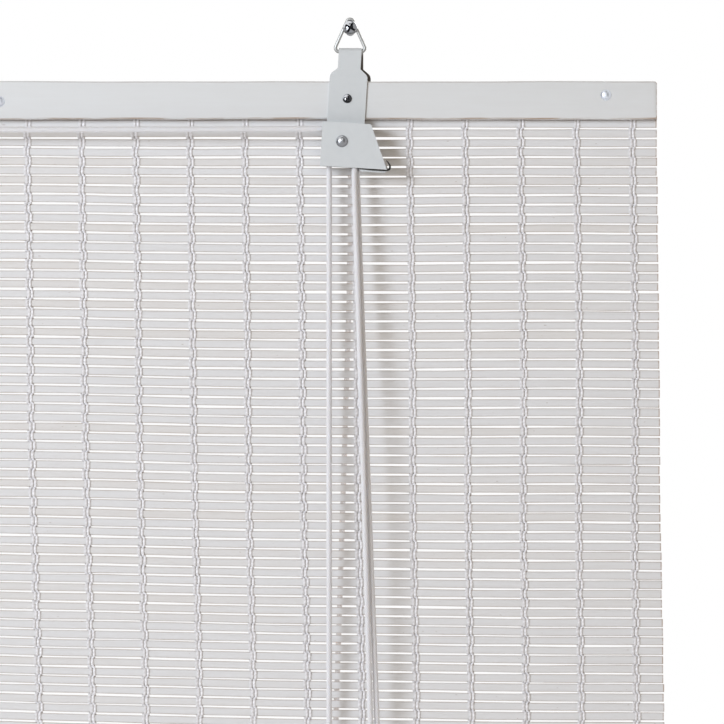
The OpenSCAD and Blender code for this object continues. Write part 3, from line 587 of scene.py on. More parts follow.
def plated(name):
    """Plated steel, cloudy and finely scratched, with painted shade in its recesses and at its rim, and a
    painted reflection of the room's dark parts.
    """
    colour, rough, bump, rim_shade, reflection_share, slot = PLATINGS[name]
    material, tree, shader = start_material(name)
    coordinates = add_node(tree, "ShaderNodeTexCoord").outputs
    place = coordinates["Object"]
    grain = use_group(tree, metal_grain(), Vector=place, Scale=2600.0)
    rub = use_group(tree, worn_edge(), Radius=0.2 * MM, Vector=place)["Mask"]
    deep = use_group(tree, recess_shade(), Reach=1.4 * MM)["Mask"]
    rim = band(tree, add_node(tree, "ShaderNodeLayerWeight", Blend=0.5).outputs["Facing"], 0.5, 0.95)
    room = use_group(tree, painted_room_reflection(), Facing=coordinates["Normal"])["Mask"]
    dull = tuple(0.62 * c for c in colour[:3]) + (1.0,)
    base = tinted(tree, colour, band(tree, grain["Cloud"], 0.4, 0.72), 0.45, dull)
    base = tinted(tree, base, rub, 0.5, tint(232, 233, 235))
    # painted shade in slots and recesses
    base = tinted(tree, base, deep, 0.9, tint(34, 33, 34))
    # painted shade at the rim
    base = tinted(tree, base, rim, rim_shade, tint(60, 60, 62))
    # painted reflection of the dark room
    base = tinted(tree, base, room, reflection_share, tint(24, 25, 29))
    if slot:
        # the cross recess painted dark as its shade
        cross = use_group(tree, cross_slot(), Place=place, Wide=1.15 * MM, Long=5.2 * MM)["Mask"]
        base = tinted(tree, base, cross, slot, tint(18, 18, 20))
    link_finish(tree, shader, base, (grain["Scratches"], 0.18, rough), grain["Height"], bump, 0.5)
    set_inputs(shader, {"Metallic": 1.0})
    return material


def nylon(name):
    """Milky moulded nylon."""
    material, tree, shader = start_material(name)
    place = add_node(tree, "ShaderNodeTexCoord").outputs["Object"]
    grain = use_group(tree, metal_grain(), Vector=place, Scale=900.0)
    base = blend_colour(tree, band(tree, grain["Cloud"], 0.4, 0.7), tint(228, 227, 222), tint(216, 215, 208))
    link_finish(tree, shader, base, (grain["Cloud"], 0.2, 0.32), grain["Height"], 0.02 * MM, 0.4)
    return material


FINISHES = {
    "white_painted_bamboo": painted_bamboo, "white_painted_lath": painted_lath, "milky_nylon": nylon,
    "white_painted_steel": painted_steel, "white_braided_cord": white_cord, "white_warp_yarn": warp_yarn,
}


def finish_of(name):
    """The material of that name, made once."""
    return bpy.data.materials.get(name) or FINISHES.get(name, plated)(name)


# Shape of the hanging mat

# the rows sit closer at the head and towards the roll: heights, and how far they are pushed up there
PUSH_AT = np.array([-394, -330, -302, -275, -248, -220, -193, -165, -83, -56, -42]) * MM
PUSH_UP = np.array([4.35, 4.35, 4.1, 3.1, 2.4, 1.9, 1.5, 1.22, 1.2, 0.9, 0.8]) * MM
# the droop starts at a height, grows over a drop to its most, and is gone near the roll
DROOP_START, DROOP_RUN, DROOP_MOST, LEVEL_RUN = -0.040, 0.25, 1.12, 0.07
# on the right it follows a parabola, and on the left it nears a limit from a slope
DROOP_REACH, DROOP_RISE, DROOP_FALL = 0.29, 5.9 * 1.303 / 4.5, 2.47 * 1.303 / 4.5
LEFT_RISE, LEFT_SLOPE = 2.0 * MM, 0.0265
# slow waves of the threads' drift, and how the columns draw together: heights, and shares of their distance
DRIFT_WAVE, DRIFT_START, DRIFT_LENGTH = 0.45 * MM, 0.206, 0.187
DRAW_AT, DRAW_SHARE = [Z_ROLL, -0.33, -0.289, -0.206, -0.17], [0, 0.0125, 0.012, 0.006, 0.0]
DRAW_MIDDLE = 0.135
# uneven spacing of the columns: least shift and growth in mm, where it is least, and its run
SPACE_LEAST, SPACE_GROWTH, SPACE_MIDDLE, SPACE_RUN = -0.9, 2.3, 0.11, 0.178
# waves that neighbouring slats share, height and length, and where the broad one is: heights, and shares
BROAD_WAVE, FINE_WAVE = (0.34 * MM, 0.27), (0.08 * MM, 0.11)
BROAD_AT, BROAD_SHARE = [-0.25, -0.2, -0.08, -0.05], [0, 1, 1, 0]
# waves of the mat's face: depth, length along X, and turn in a metre of height
FACE_WAVE, FACE_LENGTH, FACE_TURN = 0.35 * MM, 0.27, 23
# lengths of the waves of one slat, and the swells of its height: shares and lengths
SLAT_WAVES = (0.057, 0.13, 0.37)
SLAT_SWELLS = ((0.03, 0.14), (0.025, 0.061))


class MatShape:
    """Where each slat runs: level rows that droop to the right and drift sideways as the mat hangs."""

    def __init__(self, mat):
        self.mat = mat
        self.first = -int(round((TOP_HIGH[2] - LATH_LOW[2]) / mat.slat_pitch))
        self.last = int(round((LATH_LOW[2] - MAT_LOW[2]) / mat.slat_pitch))
        self.top_last = int(round((LATH_LOW[2] - TOP_LOW[2]) / mat.slat_pitch)) - 1
        count = self.last - self.first + 1
        rng = np.random.RandomState(mat.seed)
        self.shift = rng.uniform(-0.08, 0.08, count) * MM
        self.tilt = rng.uniform(-0.07, 0.07, count) * MM
        self.half = mat.slat_height / 2 * rng.uniform(0.96, 1.04, count)
        self.tone = rng.uniform(0, 1, count) ** 2.2 * 0.6
        self.depth = rng.uniform(-0.06, 0.06, count) * MM
        self.twist = rng.uniform(-0.05, 0.05, count)
        self.ends = rng.uniform(-0.22, 0.22, (count, 2)) * MM
        self.phase = rng.uniform(0, TAU, (count, 3))
        self.reach = rng.uniform(0.02, 0.09, (count, 3)) * MM
        self.common = rng.uniform(0, TAU, 4)

    def hang(self, z):
        """Share of the droop at a height: none at the head, all above the roll, none at the roll."""
        down = np.clip((DROOP_START - z) / DROOP_RUN, 0, DROOP_MOST)
        back = np.clip((z - Z_ROLL) / LEVEL_RUN, 0, 1)
        return down * back * back * (3 - 2 * back)

    def drop(self, x, z):
        """How far a slat sinks along x."""
        x = np.asarray(x, float)
        right = self.mat.droop * (DROOP_RISE * x / DROOP_REACH - DROOP_FALL * (x / DROOP_REACH) ** 2)
        left = -LEFT_RISE * (1 - np.exp(np.minimum(x, 0) * LEFT_SLOPE / LEFT_RISE))
        return self.hang(z) * np.where(x > 0, right, left)

    def drift(self, z):
        """Sideways place of the threads at a height, against the head."""
        wave = DRIFT_WAVE * np.cos(TAU * (z + DRIFT_START) / DRIFT_LENGTH)
        return self.hang(z) * (self.mat.lean - wave)

    def column(self, x, z):
        """Place of a column of threads, which are not quite evenly spaced and draw together lower down."""
        draw = np.interp(z, DRAW_AT, DRAW_SHARE)
        spaced = x + (SPACE_LEAST + SPACE_GROWTH * ((max(x, 0.0) - SPACE_MIDDLE) / SPACE_RUN) ** 2) * MM
        return spaced + self.drift(z) - draw * (max(x, -0.02) - DRAW_MIDDLE)

    def level(self, i):
        """Height of the middle of slat i before it droops."""
        z = LATH_LOW[2] - (i + 1) * self.mat.slat_pitch + self.mat.slat_height / 2
        return z if i < 0 else z + float(np.interp(z, PUSH_AT, PUSH_UP))

    def middle(self, i, x):
        """Height of the middle of slat i along x."""
        x = np.asarray(x, float)
        k, z = i - self.first, self.level(i)
        held = 0.0 if i < 0 else min(1.0, (i + 1) / 4)
        wave = sum(
            self.reach[k, j] * np.sin(TAU * x / SLAT_WAVES[j] + self.phase[k, j]) for j in range(3))
        shared = BROAD_WAVE[0] * np.cos(TAU * x / BROAD_WAVE[1]) * np.interp(z, BROAD_AT, BROAD_SHARE)
        shared = shared + FINE_WAVE[0] * np.sin(TAU * x / FINE_WAVE[1] + self.common[1] - i * 0.07)
        return z - self.drop(x, z) + held * (self.shift[k] + self.tilt[k] * x / HALF_W + wave + shared)

    def bulge(self, x, z):
        """Gentle waves of the mat's face, towards the wall or the room."""
        wave = np.sin(TAU * x / FACE_LENGTH + self.common[2]) * np.sin(z * FACE_TURN + self.common[3])
        return self.hang(z) * (FACE_WAVE * wave)


# Slats

# the section of a slat, in halves of its thickness and height, and how close each point is to an edge
SLAT_SECTION = np.array([
    (-1.0, -0.62), (-1.07, 0.0), (-1.0, 0.62), (-0.74, 0.90), (-0.2, 1.0), (0.4, 0.98), (0.9, 0.80),
    (1.0, 0.4), (1.0, -0.4), (0.9, -0.80), (0.4, -0.98), (-0.2, -1.0), (-0.74, -0.90), (-0.95, -0.74),
])
SLAT_EDGE = np.array([0.12, 0.0, 0.12, 0.75, 1.0, 1.0, 0.7, 0.2, 0.2, 0.7, 1.0, 1.0, 0.75, 0.35])
SAWN_END = 3.0
# the grain's coordinates: once round a slat, and along a metre
GRAIN_ROUND, GRAIN_ALONG = 2.4, 100


class SlatMesh:
    """Collects slats with a number of stations along each into one mesh."""

    def __init__(self, stations):
        self.stations, self.sides = stations, len(SLAT_SECTION)
        self.points, self.quads, self.tones, self.uvs = [], [], [], []

    def run(self, low, high):
        """Stations along a slat, with two close to each end to keep the end faces crisp."""
        return np.concatenate([
            [low, low + 0.12 * MM, low + 0.6 * MM],
            np.linspace(low + 6 * MM, high - 6 * MM, self.stations - 6),
            [high - 0.6 * MM, high - 0.12 * MM, high],
        ])

    def add(self, x, y, z, tone, shift_along, shift_round):
        """One slat: x for each station, y and z for each point, its tone, and its place in the grain."""
        start = len(self.points) * self.stations * self.sides
        self.quads.append(lofted_quads(self.stations, self.sides, start))
        ring = np.stack([np.repeat(x[:, None], self.sides, 1), y, z], -1)
        self.points.append(ring.reshape(-1, 3))
        self.tones.append(np.repeat(np.broadcast_to(tone, self.stations), self.sides))
        around = np.tile(np.linspace(0, GRAIN_ROUND, self.sides), self.stations) + shift_round
        self.uvs.append(np.stack([np.repeat(shift_along, self.sides), around], -1))

    def piece(self, name, body, stands_for):
        edge = np.tile(SLAT_EDGE, (self.stations, 1))
        edge[[0, 1, -2, -1]] = SAWN_END
        mesh = quad_mesh(name, np.concatenate(self.points), np.concatenate(self.quads))
        point_value(mesh, "edge", np.tile(edge.ravel(), len(self.points)))
        point_value(mesh, "tone", np.concatenate(self.tones))
        corner_uv(mesh, np.concatenate(self.uvs))
        return add_piece(name, mesh, body, finish_of("white_painted_bamboo"), stands_for)


def weave_slats(name, rows, shape, stands_for):
    """One slat for each row, those between the laths quite even."""
    mat = shape.mat
    slats = SlatMesh(45)
    rng = np.random.RandomState(mat.seed + 11 + len(rows))
    across, up = SLAT_SECTION[:, 0] * mat.slat_thickness / 2, SLAT_SECTION[:, 1]
    for i in rows:
        k = i - shape.first
        x = slats.run(-HALF_W + shape.ends[k, 0], HALF_W + shape.ends[k, 1])
        z = shape.middle(i, x)
        swell = sum(a * np.sin(TAU * x / w + rng.uniform(0, TAU)) for a, w in SLAT_SWELLS)
        # the slats are a little wider at the right end
        broad = 0.985 + 0.06 * np.clip((x - 0.225) / 0.05, 0, 1)
        half = shape.half[k] * broad * (1 + swell + rng.uniform(-0.02, 0.02, slats.stations))
        depth, twist = shape.depth[k], shape.twist[k]
        if i < 0:
            half, depth, twist = np.full(slats.stations, mat.slat_height / 2), 0, 0
        y = Y_MAT + depth + shape.bulge(x, z)
        # the slats less beige towards the bottom and the right: painted cooler light there
        painted_cool_light = np.clip(0.6 * max(i, 0) / shape.last + 0.4 * x / HALF_W, 0, 1)
        # the slats drift less than the threads, and most at the right end
        drift = (0.55 + 0.3 * np.clip((x - 0.2) / 0.08, 0, 1)) * shape.drift(z)
        slats.add(
            x + drift, y[:, None] + across[None] + twist * half[:, None] * up[None],
            z[:, None] + half[:, None] * up[None], shape.tone[k] + 0.12 - 0.5 * painted_cool_light,
            x * GRAIN_ALONG + 17.3 * k, 5.1 * k)
    return slats.piece(name, "blind", stands_for)


# Warp threads

STRAND_SIDES = 6
# the grain's coordinate along a metre of strand
STRAND_GRAIN = 600
# how far a pair of strands swings to either side from slat to slat: least and most, in mm
SWING = (0.3, 0.5)
# half of what the two pairs stand apart where they cross in a gap, along X and Y
CROSS_X, CROSS_Y = 0.25 * MM, 0.16 * MM
# a strand in a gap of the mat and of the roll: distance from its pair's middle and half width, in strand
# widths, and half thickness, in strand thicknesses
GAP_MAT, GAP_ROLL = (0.55, 0.62, 0.4), (0.62, 0.44, 0.5)


def column_places(mat):
    count = 1 + int(round((2 * HALF_W - mat.warp_pitch) / mat.warp_pitch))
    return [(k - (count - 1) / 2) * mat.warp_pitch for k in range(count)]


class StrandMesh:
    """Collects flat strands of warp thread into one mesh."""

    def __init__(self):
        self.points, self.quads, self.tones, self.uvs, self.count = [], [], [], [], 0

    def add(self, stations, tone):
        """One strand, from stations with a centre, half width, half thickness and a normal in Y and Z."""
        centre, wide, thick, normal = (np.array(part) for part in zip(*stations))
        a = np.arange(STRAND_SIDES) * TAU / STRAND_SIDES + TAU / 12
        rings = centre[:, None, :].repeat(STRAND_SIDES, 1)
        rings[:, :, 0] += wide[:, None] * np.cos(a)[None]
        for k in (0, 1):
            rings[:, :, k + 1] += (thick[:, None] * np.sin(a)[None]) * normal[:, None, k]
        n = len(centre)
        self.quads.append(lofted_quads(n, STRAND_SIDES, self.count))
        self.points.append(rings.reshape(-1, 3))
        self.tones.append(np.full(n * STRAND_SIDES, tone))
        along = distances(centre) * STRAND_GRAIN
        around = np.tile(np.arange(STRAND_SIDES) / STRAND_SIDES, n)
        self.uvs.append(np.stack([np.repeat(along, STRAND_SIDES), around], -1))
        self.count += n * STRAND_SIDES

    def piece(self, name, body, stands_for=()):
        mesh = quad_mesh(name, np.concatenate(self.points), np.concatenate(self.quads))
        point_value(mesh, "tone", np.concatenate(self.tones))
        corner_uv(mesh, np.concatenate(self.uvs))
        return add_piece(name, mesh, body, finish_of("white_warp_yarn"), stands_for)


def weave_threads(name, columns, first, last, shape, stands_for):
    """Two pairs of strands in each column, which change sides of the mat from slat to slat."""
    mat = shape.mat
    strands = StrandMesh()
    rng = np.random.RandomState(mat.seed + 101 + int(1000 * (columns[0] + 1)) + first)
    face = mat.slat_thickness / 2 + mat.strand_thickness * 0.42
    to_room = (1.0, 0.0)
    for column in columns:
        swing = rng.uniform(*SWING) * MM
        for pair in (0, 1):
            hand = 1 if pair else -1
            for side in (-1, 1):
                # the left strand of a pair is greyer, wider and flatter
                left = side < 0
                tone = max(0.0, (0.65 if left else 0.0) + rng.uniform(-0.15, 0.1))
                width = mat.strand_width * (1.06 if left else 0.94)
                fat = mat.strand_thickness * (0.8 if left else 1.2)
                crossing = side * mat.strand_width * GAP_MAT[0] + hand * CROSS_X
                in_gap = (width * GAP_MAT[1], mat.strand_thickness * GAP_MAT[2], to_room)
                stations = []
                for i in range(first, last + 1):
                    z_nominal = shape.level(i)
                    x = shape.column(column, z_nominal) + rng.normal(0, 0.06) * MM
                    z = float(shape.middle(i, column))
                    k = i - shape.first
                    lay = -1 if (i + pair) % 2 == 0 else 1
                    y = Y_MAT + shape.depth[k] + float(shape.bulge(column, z_nominal)) + lay * face
                    x_pair = x - lay * (swing if i % 2 == 0 else -swing)
                    x_strand = x_pair + side * mat.strand_width * 0.5
                    y_gap = Y_MAT + hand * CROSS_Y
                    if i == first:
                        stations.append(((x + crossing, y_gap, z + mat.slat_pitch / 2), *in_gap))
                    for share in (0.94, -0.94):
                        place = (x_strand, y, z + share * shape.half[k])
                        stations.append((place, width / 2, fat / 2, to_room))
                    below = float(shape.middle(min(i + 1, shape.last), column))
                    gap = (z + below) / 2 if i < shape.last else z - mat.slat_pitch / 2
                    stations.append(((x + crossing, y_gap, gap), *in_gap))
                strands.add(stations, tone)
    return strands.piece(name, "blind", stands_for)


# Cords

BRAID_PITCH, BRAID_STRANDS, BRAID_GRAIN = 5.2 * MM, 4, 2.6 * MM
XZ = ((1, 0, 0), (0, 0, 1))
YZ = ((0, 1, 0), (0, 0, 1))


def even_path(points, step):
    """Points along a route, an even step apart, and how far along each is."""
    points = np.asarray(points, float)
    run = distances(points)
    count = max(2, int(round(run[-1] / step)) + 1)
    at = np.linspace(0, run[-1], count)
    return np.stack([np.interp(at, run, points[:, k]) for k in range(3)], -1), at


def braided_tube(name, route, stands_for, body="blind", radius=CORD_R, step=0.55 * MM, sides=16):
    """A cord along a route, with the ridges of its braid in the mesh."""
    path, at = even_path(route, step)
    tangent = np.gradient(path, axis=0)
    tangent /= np.linalg.norm(tangent, axis=1)[:, None]
    side = np.zeros_like(path)
    previous = np.array([0.0, 1.0, 0.0]) if abs(tangent[0][1]) < 0.9 else np.array([1.0, 0.0, 0.0])
    for i, t in enumerate(tangent):
        previous = previous - t * previous.dot(t)
        previous = previous / np.linalg.norm(previous)
        side[i] = previous
    up = np.cross(tangent, side)
    a = np.arange(sides) * TAU / sides
    turn = TAU * at[:, None] / BRAID_PITCH
    weave = np.maximum(np.cos(BRAID_STRANDS * a[None] + turn), np.cos(BRAID_STRANDS * a[None] - turn))
    r = radius * (0.995 + 0.045 * weave)
    out = np.cos(a)[None, :, None] * side[:, None] + np.sin(a)[None, :, None] * up[:, None]
    ring = path[:, None] + r[..., None] * out
    mesh = ring_mesh(name, ring)
    point_value(mesh, "tone", np.full(len(path) * sides, 0.0))
    around = np.tile(np.arange(sides) / sides * BRAID_STRANDS, len(path))
    corner_uv(mesh, np.stack([np.repeat(at / BRAID_GRAIN, sides), around], -1))
    return add_piece(name, mesh, body, finish_of("white_braided_cord"), (stands_for,))


def arc_points(centre, radius, start, end, count, plane):
    """Points on an arc in a plane given by two axes, from start to end in degrees."""
    a = np.radians(np.linspace(start, end, count))[:, None]
    u, v = (np.array(axis, float) for axis in plane)
    return np.asarray(centre, float) + radius * (np.cos(a) * u + np.sin(a) * v)


# Stage

# dark cards for the metal: name, turn to the right and rise in degrees, width and height
FLAGS = (
    ("flag_right", 38, 12, 0.5, 2.2),
    ("flag_left", -80, 0, 0.7, 2.0),
    ("flag_high", 12, 62, 1.2, 0.5),
)
FLAG_AWAY = 1.6
LAMP_AIM = np.array((0.15, 0.0, -0.15))
SENSOR = 36
FLOOR_R, FLOOR_CORNERS = 4, 64


class BLIND_OT_stage(bpy.types.Operator):
    """Camera, floor, lamps and the white surround"""

    bl_idname = "blind.stage"
    bl_label = "Stage"

    def execute(self, context):
        stage = context.scene.blind_stage
        scene = context.scene
        camera = bpy.data.objects.new("camera", bpy.data.cameras.new("camera"))
        scene.collection.objects.link(camera)
        camera.location = (stage.view_x, MAT_LOW[1] - stage.distance, stage.view_z)
        camera.rotation_euler = (math.radians(90), 0, 0)
        camera.data.sensor_width = SENSOR
        camera.data.lens = SENSOR * stage.distance / stage.view_width
        camera.data.clip_end = 100
        scene.camera = camera
        scene.view_settings.view_transform = "Standard"
        self.floor(scene, Z_ROLL - stage.floor_drop)
        self.lamp(scene, "key", (-1.45, -1.72, 0.55), 0.9, stage.key, (0.915, 1.0, 1.11))
        self.lamp(scene, "back", (0.9, 1.8, 0.7), 1.6, stage.back, (1.0, 0.98, 0.95))
        for name, turn, rise, wide, tall in FLAGS:
            self.flag(scene, name, math.radians(turn), math.radians(rise), wide, tall)
        self.surround(scene, stage)
        return {"FINISHED"}

    def staged(self, scene, name, corners, material):
        """One flat face that isn't part of the blind."""
        mesh = bpy.data.meshes.new(name)
        mesh.from_pydata([tuple(c) for c in corners], [], [list(range(len(corners)))])
        mesh.materials.append(material)
        piece = bpy.data.objects.new(name, mesh)
        scene.collection.objects.link(piece)
        return piece

    def floor(self, scene, z):
        material, tree, shader = start_material("pale_floor")
        place = add_node(tree, "ShaderNodeTexCoord").outputs["Object"]
        base = blend_colour(tree, noise(tree, place, 6.0), tint(244, 244, 244), tint(239, 239, 239))
        tree.links.new(base, shader.inputs["Base Color"])
        set_inputs(shader, {"Roughness": 1.0, "Specular IOR Level": 0.0, "Emission Strength": 1.0})
        # what the lamps leave dark is lifted to white only where the camera looks, so the shadow stays
        far = band(tree, vectors(tree, "LENGTH", place)["Value"], 0.4, 2.8)
        glow = blend_colour(tree, far, (0.13, 0.16, 0.21, 1), (0.46, 0.49, 0.54, 1))
        glow = blend_colour(tree, seen_rays(tree), (0.0, 0.0, 0.0, 1.0), glow)
        tree.links.new(glow, shader.inputs["Emission Color"])
        a = np.linspace(0, TAU, FLOOR_CORNERS + 1)[:-1]
        rim = np.stack([FLOOR_R * np.cos(a), FLOOR_R * np.sin(a), np.full(FLOOR_CORNERS, z)], -1)
        self.staged(scene, "floor", rim, material)

    def flag(self, scene, name, turn, rise, wide, tall):
        """A dark card that only metal reflects, aimed at the head of the blind."""
        level = math.cos(rise)
        away = np.array((math.sin(turn) * level, -math.cos(turn) * level, math.sin(rise)))
        right = np.array((math.cos(turn), math.sin(turn), 0.0))
        up = np.cross(away, right)
        middle = np.array((LOCK_AXLE[0], 0.0, 0.0)) + FLAG_AWAY * away
        signs = ((-1, -1), (1, -1), (1, 1), (-1, 1))
        corners = [middle + a * wide / 2 * right + b * tall / 2 * up for a, b in signs]
        material, _, shader = start_material(name)
        set_inputs(shader, {"Base Color": tint(22, 22, 24), "Roughness": 1.0})
        card = self.staged(scene, name, corners, material)
        card.visible_camera = card.visible_diffuse = card.visible_shadow = card.visible_transmission = False

    def lamp(self, scene, name, place, size, power, colour):
        data = bpy.data.lights.new(name, "AREA")
        data.shape = "DISK"
        data.size = size
        data.energy = power
        data.color = colour
        lamp = bpy.data.objects.new(name, data)
        scene.collection.objects.link(lamp)
        lamp.location = LAMP_AIM + np.array(place)
        away = np.array(place) / np.linalg.norm(place)
        lamp.rotation_euler = (math.acos(away[2]), 0, math.atan2(away[1], away[0]) + math.radians(90))

    def surround(self, scene, stage):
        """Even light on the blind, and white where the camera looks."""
        world = bpy.data.worlds.new("surround")
        scene.world = world
        world.use_nodes = True
        tree = world.node_tree
        tree.nodes.clear()
        even = add_node(tree, "ShaderNodeBackground", Color=(1.16, 1.0, 0.8, 1), Strength=stage.sky)
        white = add_node(tree, "ShaderNodeBackground", Color=(1, 1, 1, 1), Strength=1.0)
        mix = add_node(tree, "ShaderNodeMixShader")
        for socket, value in zip(mix.inputs, (seen_rays(tree), even.outputs[0], white.outputs[0])):
            tree.links.new(value, socket)
        out = add_node(tree, "ShaderNodeOutputWorld")
        tree.links.new(mix.outputs[0], out.inputs["Surface"])


# Operators for the pieces

# the pull strands: straight lead below the wheel, half their distance and turn at the knob, spread, and bow
PULL_LEAD, PULL_STEPS = 4 * MM, 20
PAIR_HALF, PAIR_TURN = 1.85 * MM, math.radians(30)
PULL_SPREAD, PULL_BOW = 0.65 * MM, 5.0 * MM
# the lift cords: how far the front runs stand off the mat, and the right back run bows sideways
LIFT_BOW, BACK_BOW = 5.5 * MM, 1.9 * MM
# the knob's turned profile: shares of its radius and height
KNOB_PROFILE = np.array([
    (0.02, 0.0), (0.40, 0.0), (0.50, 0.025), (0.62, 0.08), (0.86, 0.22), (0.97, 0.31), (1.0, 0.37),
    (0.985, 0.43), (0.955, 0.445), (0.955, 0.465), (0.965, 0.48), (0.90, 0.60), (0.80, 0.76), (0.72, 0.86),
    (0.66, 0.90), (0.64, 0.92), (0.65, 0.95), (0.63, 0.985), (0.58, 1.0), (0.02, 1.0),
])
# where its paint is thin: heights, and closeness to an edge
KNOB_WORN = ([0, 0.03, 0.1, 0.4, 0.455, 0.5, 0.88, 0.93, 1], [0.9, 0.8, 0, 0, 0.9, 0, 0, 0.8, 0.9])


class BLIND_OT_pull_cords(bpy.types.Operator):
    """The two pull strands below the lock and the turned knob they end in"""

    bl_idname = "blind.pull_cords"
    bl_label = "Pull cords"

    def execute(self, context):
        low, high = box_of("pull_knob")
        knob = self.knob(low, high)
        middle = (low + high) / 2
        top = np.array([middle[0], middle[1], high[2] - 0.05 * MM])
        beside = PAIR_HALF * np.array([math.cos(PAIR_TURN), math.sin(PAIR_TURN), 0])
        for name, y, hand in (("left", Y_FRONT_GROOVE, -1), ("right", Y_BACK_GROOVE, 1)):
            start = np.array([LOCK_AXLE[0] + WHEEL_R, y, Z_AXLE])
            lead = start - np.array([0, 0, PULL_LEAD])
            end = top + hand * beside
            route = [start]
            for k in range(PULL_STEPS + 1):
                share = k / PULL_STEPS
                spread = hand * PULL_SPREAD * min(1, k) * (1 - share) ** 2
                bow = PULL_BOW * math.sin(math.pi * share**1.3)
                route.append(lead + (end - lead) * share + np.array([spread, -bow, 0.0]))
            strand = braided_tube("pull_strand_" + name, route, name + "_cord_pull")
        return {"FINISHED"}

    def knob(self, low, high):
        r, h = (high[0] - low[0]) / 2, high[2] - low[2]
        middle = (low + high) / 2
        sides = 48
        a = np.arange(sides) * TAU / sides
        out = r * KNOB_PROFILE[:, 0:1]
        ring = np.stack([
            middle[0] + out * np.cos(a), middle[1] + out * np.sin(a),
            low[2] + h * np.repeat(KNOB_PROFILE[:, 1:2], sides, 1),
        ], -1)
        mesh = ring_mesh("turned_knob", ring, 40)
        point_value(mesh, "edge", np.repeat(np.interp(KNOB_PROFILE[:, 1], *KNOB_WORN), sides))
        paint = finish_of("white_painted_lath")
        return add_piece("turned_knob", mesh, "blind", paint, ("pull_knob",))


class BLIND_OT_lift_cords(bpy.types.Operator):
    """The two lift cords: knots, back runs, slings under the roll, front runs and the cross cord"""

    bl_idname = "blind.lift_cords"
    bl_label = "Lift cords"

    def execute(self, context):
        t = np.linspace(0, 1, 40)[:, None]
        for name, axle_x, y, slack in (
            ("left", PULLEY_AXLE[0], Y_FRONT_GROOVE, 0.0),
            ("right", LOCK_AXLE[0], Y_BACK_GROOVE, BACK_BOW),
        ):
            x = axle_x - WHEEL_R
            route = (1 - t) * np.array([x, Y_ROLL - SLING_R, Z_ROLL]) + t * np.array([x, y, Z_AXLE])
            # it stands off the mat a little between the roll and the wheel
            route[:, 1] -= LIFT_BOW * np.sin(math.pi * t[:, 0] ** 0.75)
            front = braided_tube(name + "_lift_front", route, name + "_cord_front")
            shorten(front)
            knot_low, knot_high = box_of(name + "_cord_knot")
            knot = (knot_low + knot_high) / 2
            bend = np.array([knot[0], knot_high[1] - 1.45 * MM, knot[2]])
            away = np.array([bend[1] - Y_ROLL, bend[2] - Z_ROLL])
            end = math.degrees(math.atan2(away[1], away[0]) - math.acos(SLING_R / np.linalg.norm(away)))
            sling = arc_points((x, Y_ROLL, Z_ROLL), SLING_R, 180, 360 + end, 60, YZ)
            braided_tube(name + "_sling", sling, name + "_cord_sling", "roll")
            route = (1 - t) * bend + t * sling[-1]
            route[:, 0] += slack * np.sin(math.pi * np.minimum(1, 4 * t[:, 0]) / 2) * np.sqrt(1 - t[:, 0])
            back = braided_tube(name + "_lift_back", route, name + "_cord_back")
            shorten(back)
            self.knot(name, knot_low, knot, bend)
        self.cross()
        wrap = arc_points((LOCK_AXLE[0], Y_BACK_GROOVE, Z_AXLE), WHEEL_R, 180, 0, 40, XZ)
        braided_tube("right_wrap", wrap, "right_cord_wrap")
        return {"FINISHED"}

    def cross(self):
        """From the pulley to the lock, with a slight sag."""
        left = arc_points((PULLEY_AXLE[0], Y_FRONT_GROOVE, Z_AXLE), WHEEL_R, 180, 90, 20, XZ)
        right = arc_points((LOCK_AXLE[0], Y_FRONT_GROOVE, Z_AXLE), WHEEL_R, 90, 0, 20, XZ)
        share = np.linspace(0, 1, 40)[1:-1]
        span = left[-1] + (right[0] - left[-1]) * share[:, None]
        span[:, 2] -= 0.5 * MM * 4 * share * (1 - share)
        braided_tube("cross_cord", np.concatenate([left, span, right]), "left_cord_cross")

    def knot(self, name, low, middle, bend):
        """A tight knot in front of the strap's back leg, and the tail through the leg."""
        t = np.linspace(0, TAU, 80)
        ball = np.array([middle[0], low[1] + 2.1 * MM, middle[2]])
        lobes = [np.sin(t) + 2 * np.sin(2 * t), -np.sin(3 * t), np.cos(t) - 2 * np.cos(2 * t)]
        knot = ball + np.stack(lobes, -1) * 0.52 * MM
        route = np.concatenate([knot, np.linspace(ball, bend, 12)[2:]])
        braided_tube(name + "_knot", route, name + "_cord_knot", radius=1.0 * MM, step=0.3 * MM)


class BLIND_OT_slats(bpy.types.Operator):
    """The woven slats that hang below the head"""

    bl_idname = "blind.slats"
    bl_label = "Slats"

    def execute(self, context):
        shape = MatShape(context.scene.blind_mat)
        low = shape.top_last + 1
        weave_slats("top_slats", range(shape.first, low), shape, ("mat_top",))
        hanging = weave_slats("hanging_slats", range(low, shape.last + 1), shape, ("mat_fall",))
        shorten(hanging)
        return {"FINISHED"}


class BLIND_OT_warp_threads(bpy.types.Operator):
    """The columns of warp threads that hold the slats"""

    bl_idname = "blind.warp_threads"
    bl_label = "Warp threads"

    def execute(self, context):
        mat = context.scene.blind_mat
        shape = MatShape(mat)
        columns = column_places(mat)
        half = len(columns) // 2
        low = shape.top_last + 1
        weave_threads("top_threads", columns, 0, shape.top_last, shape, ("warp_threads_top",))
        for name, part, stands_for in (
            ("hanging_threads_left", columns[:half], ("warp_threads_fall",)),
            ("hanging_threads_right", columns[half:], ()),
        ):
            hanging = weave_threads(name, part, low, shape.last, shape, stands_for)
            shorten(hanging)
        return {"FINISHED"}


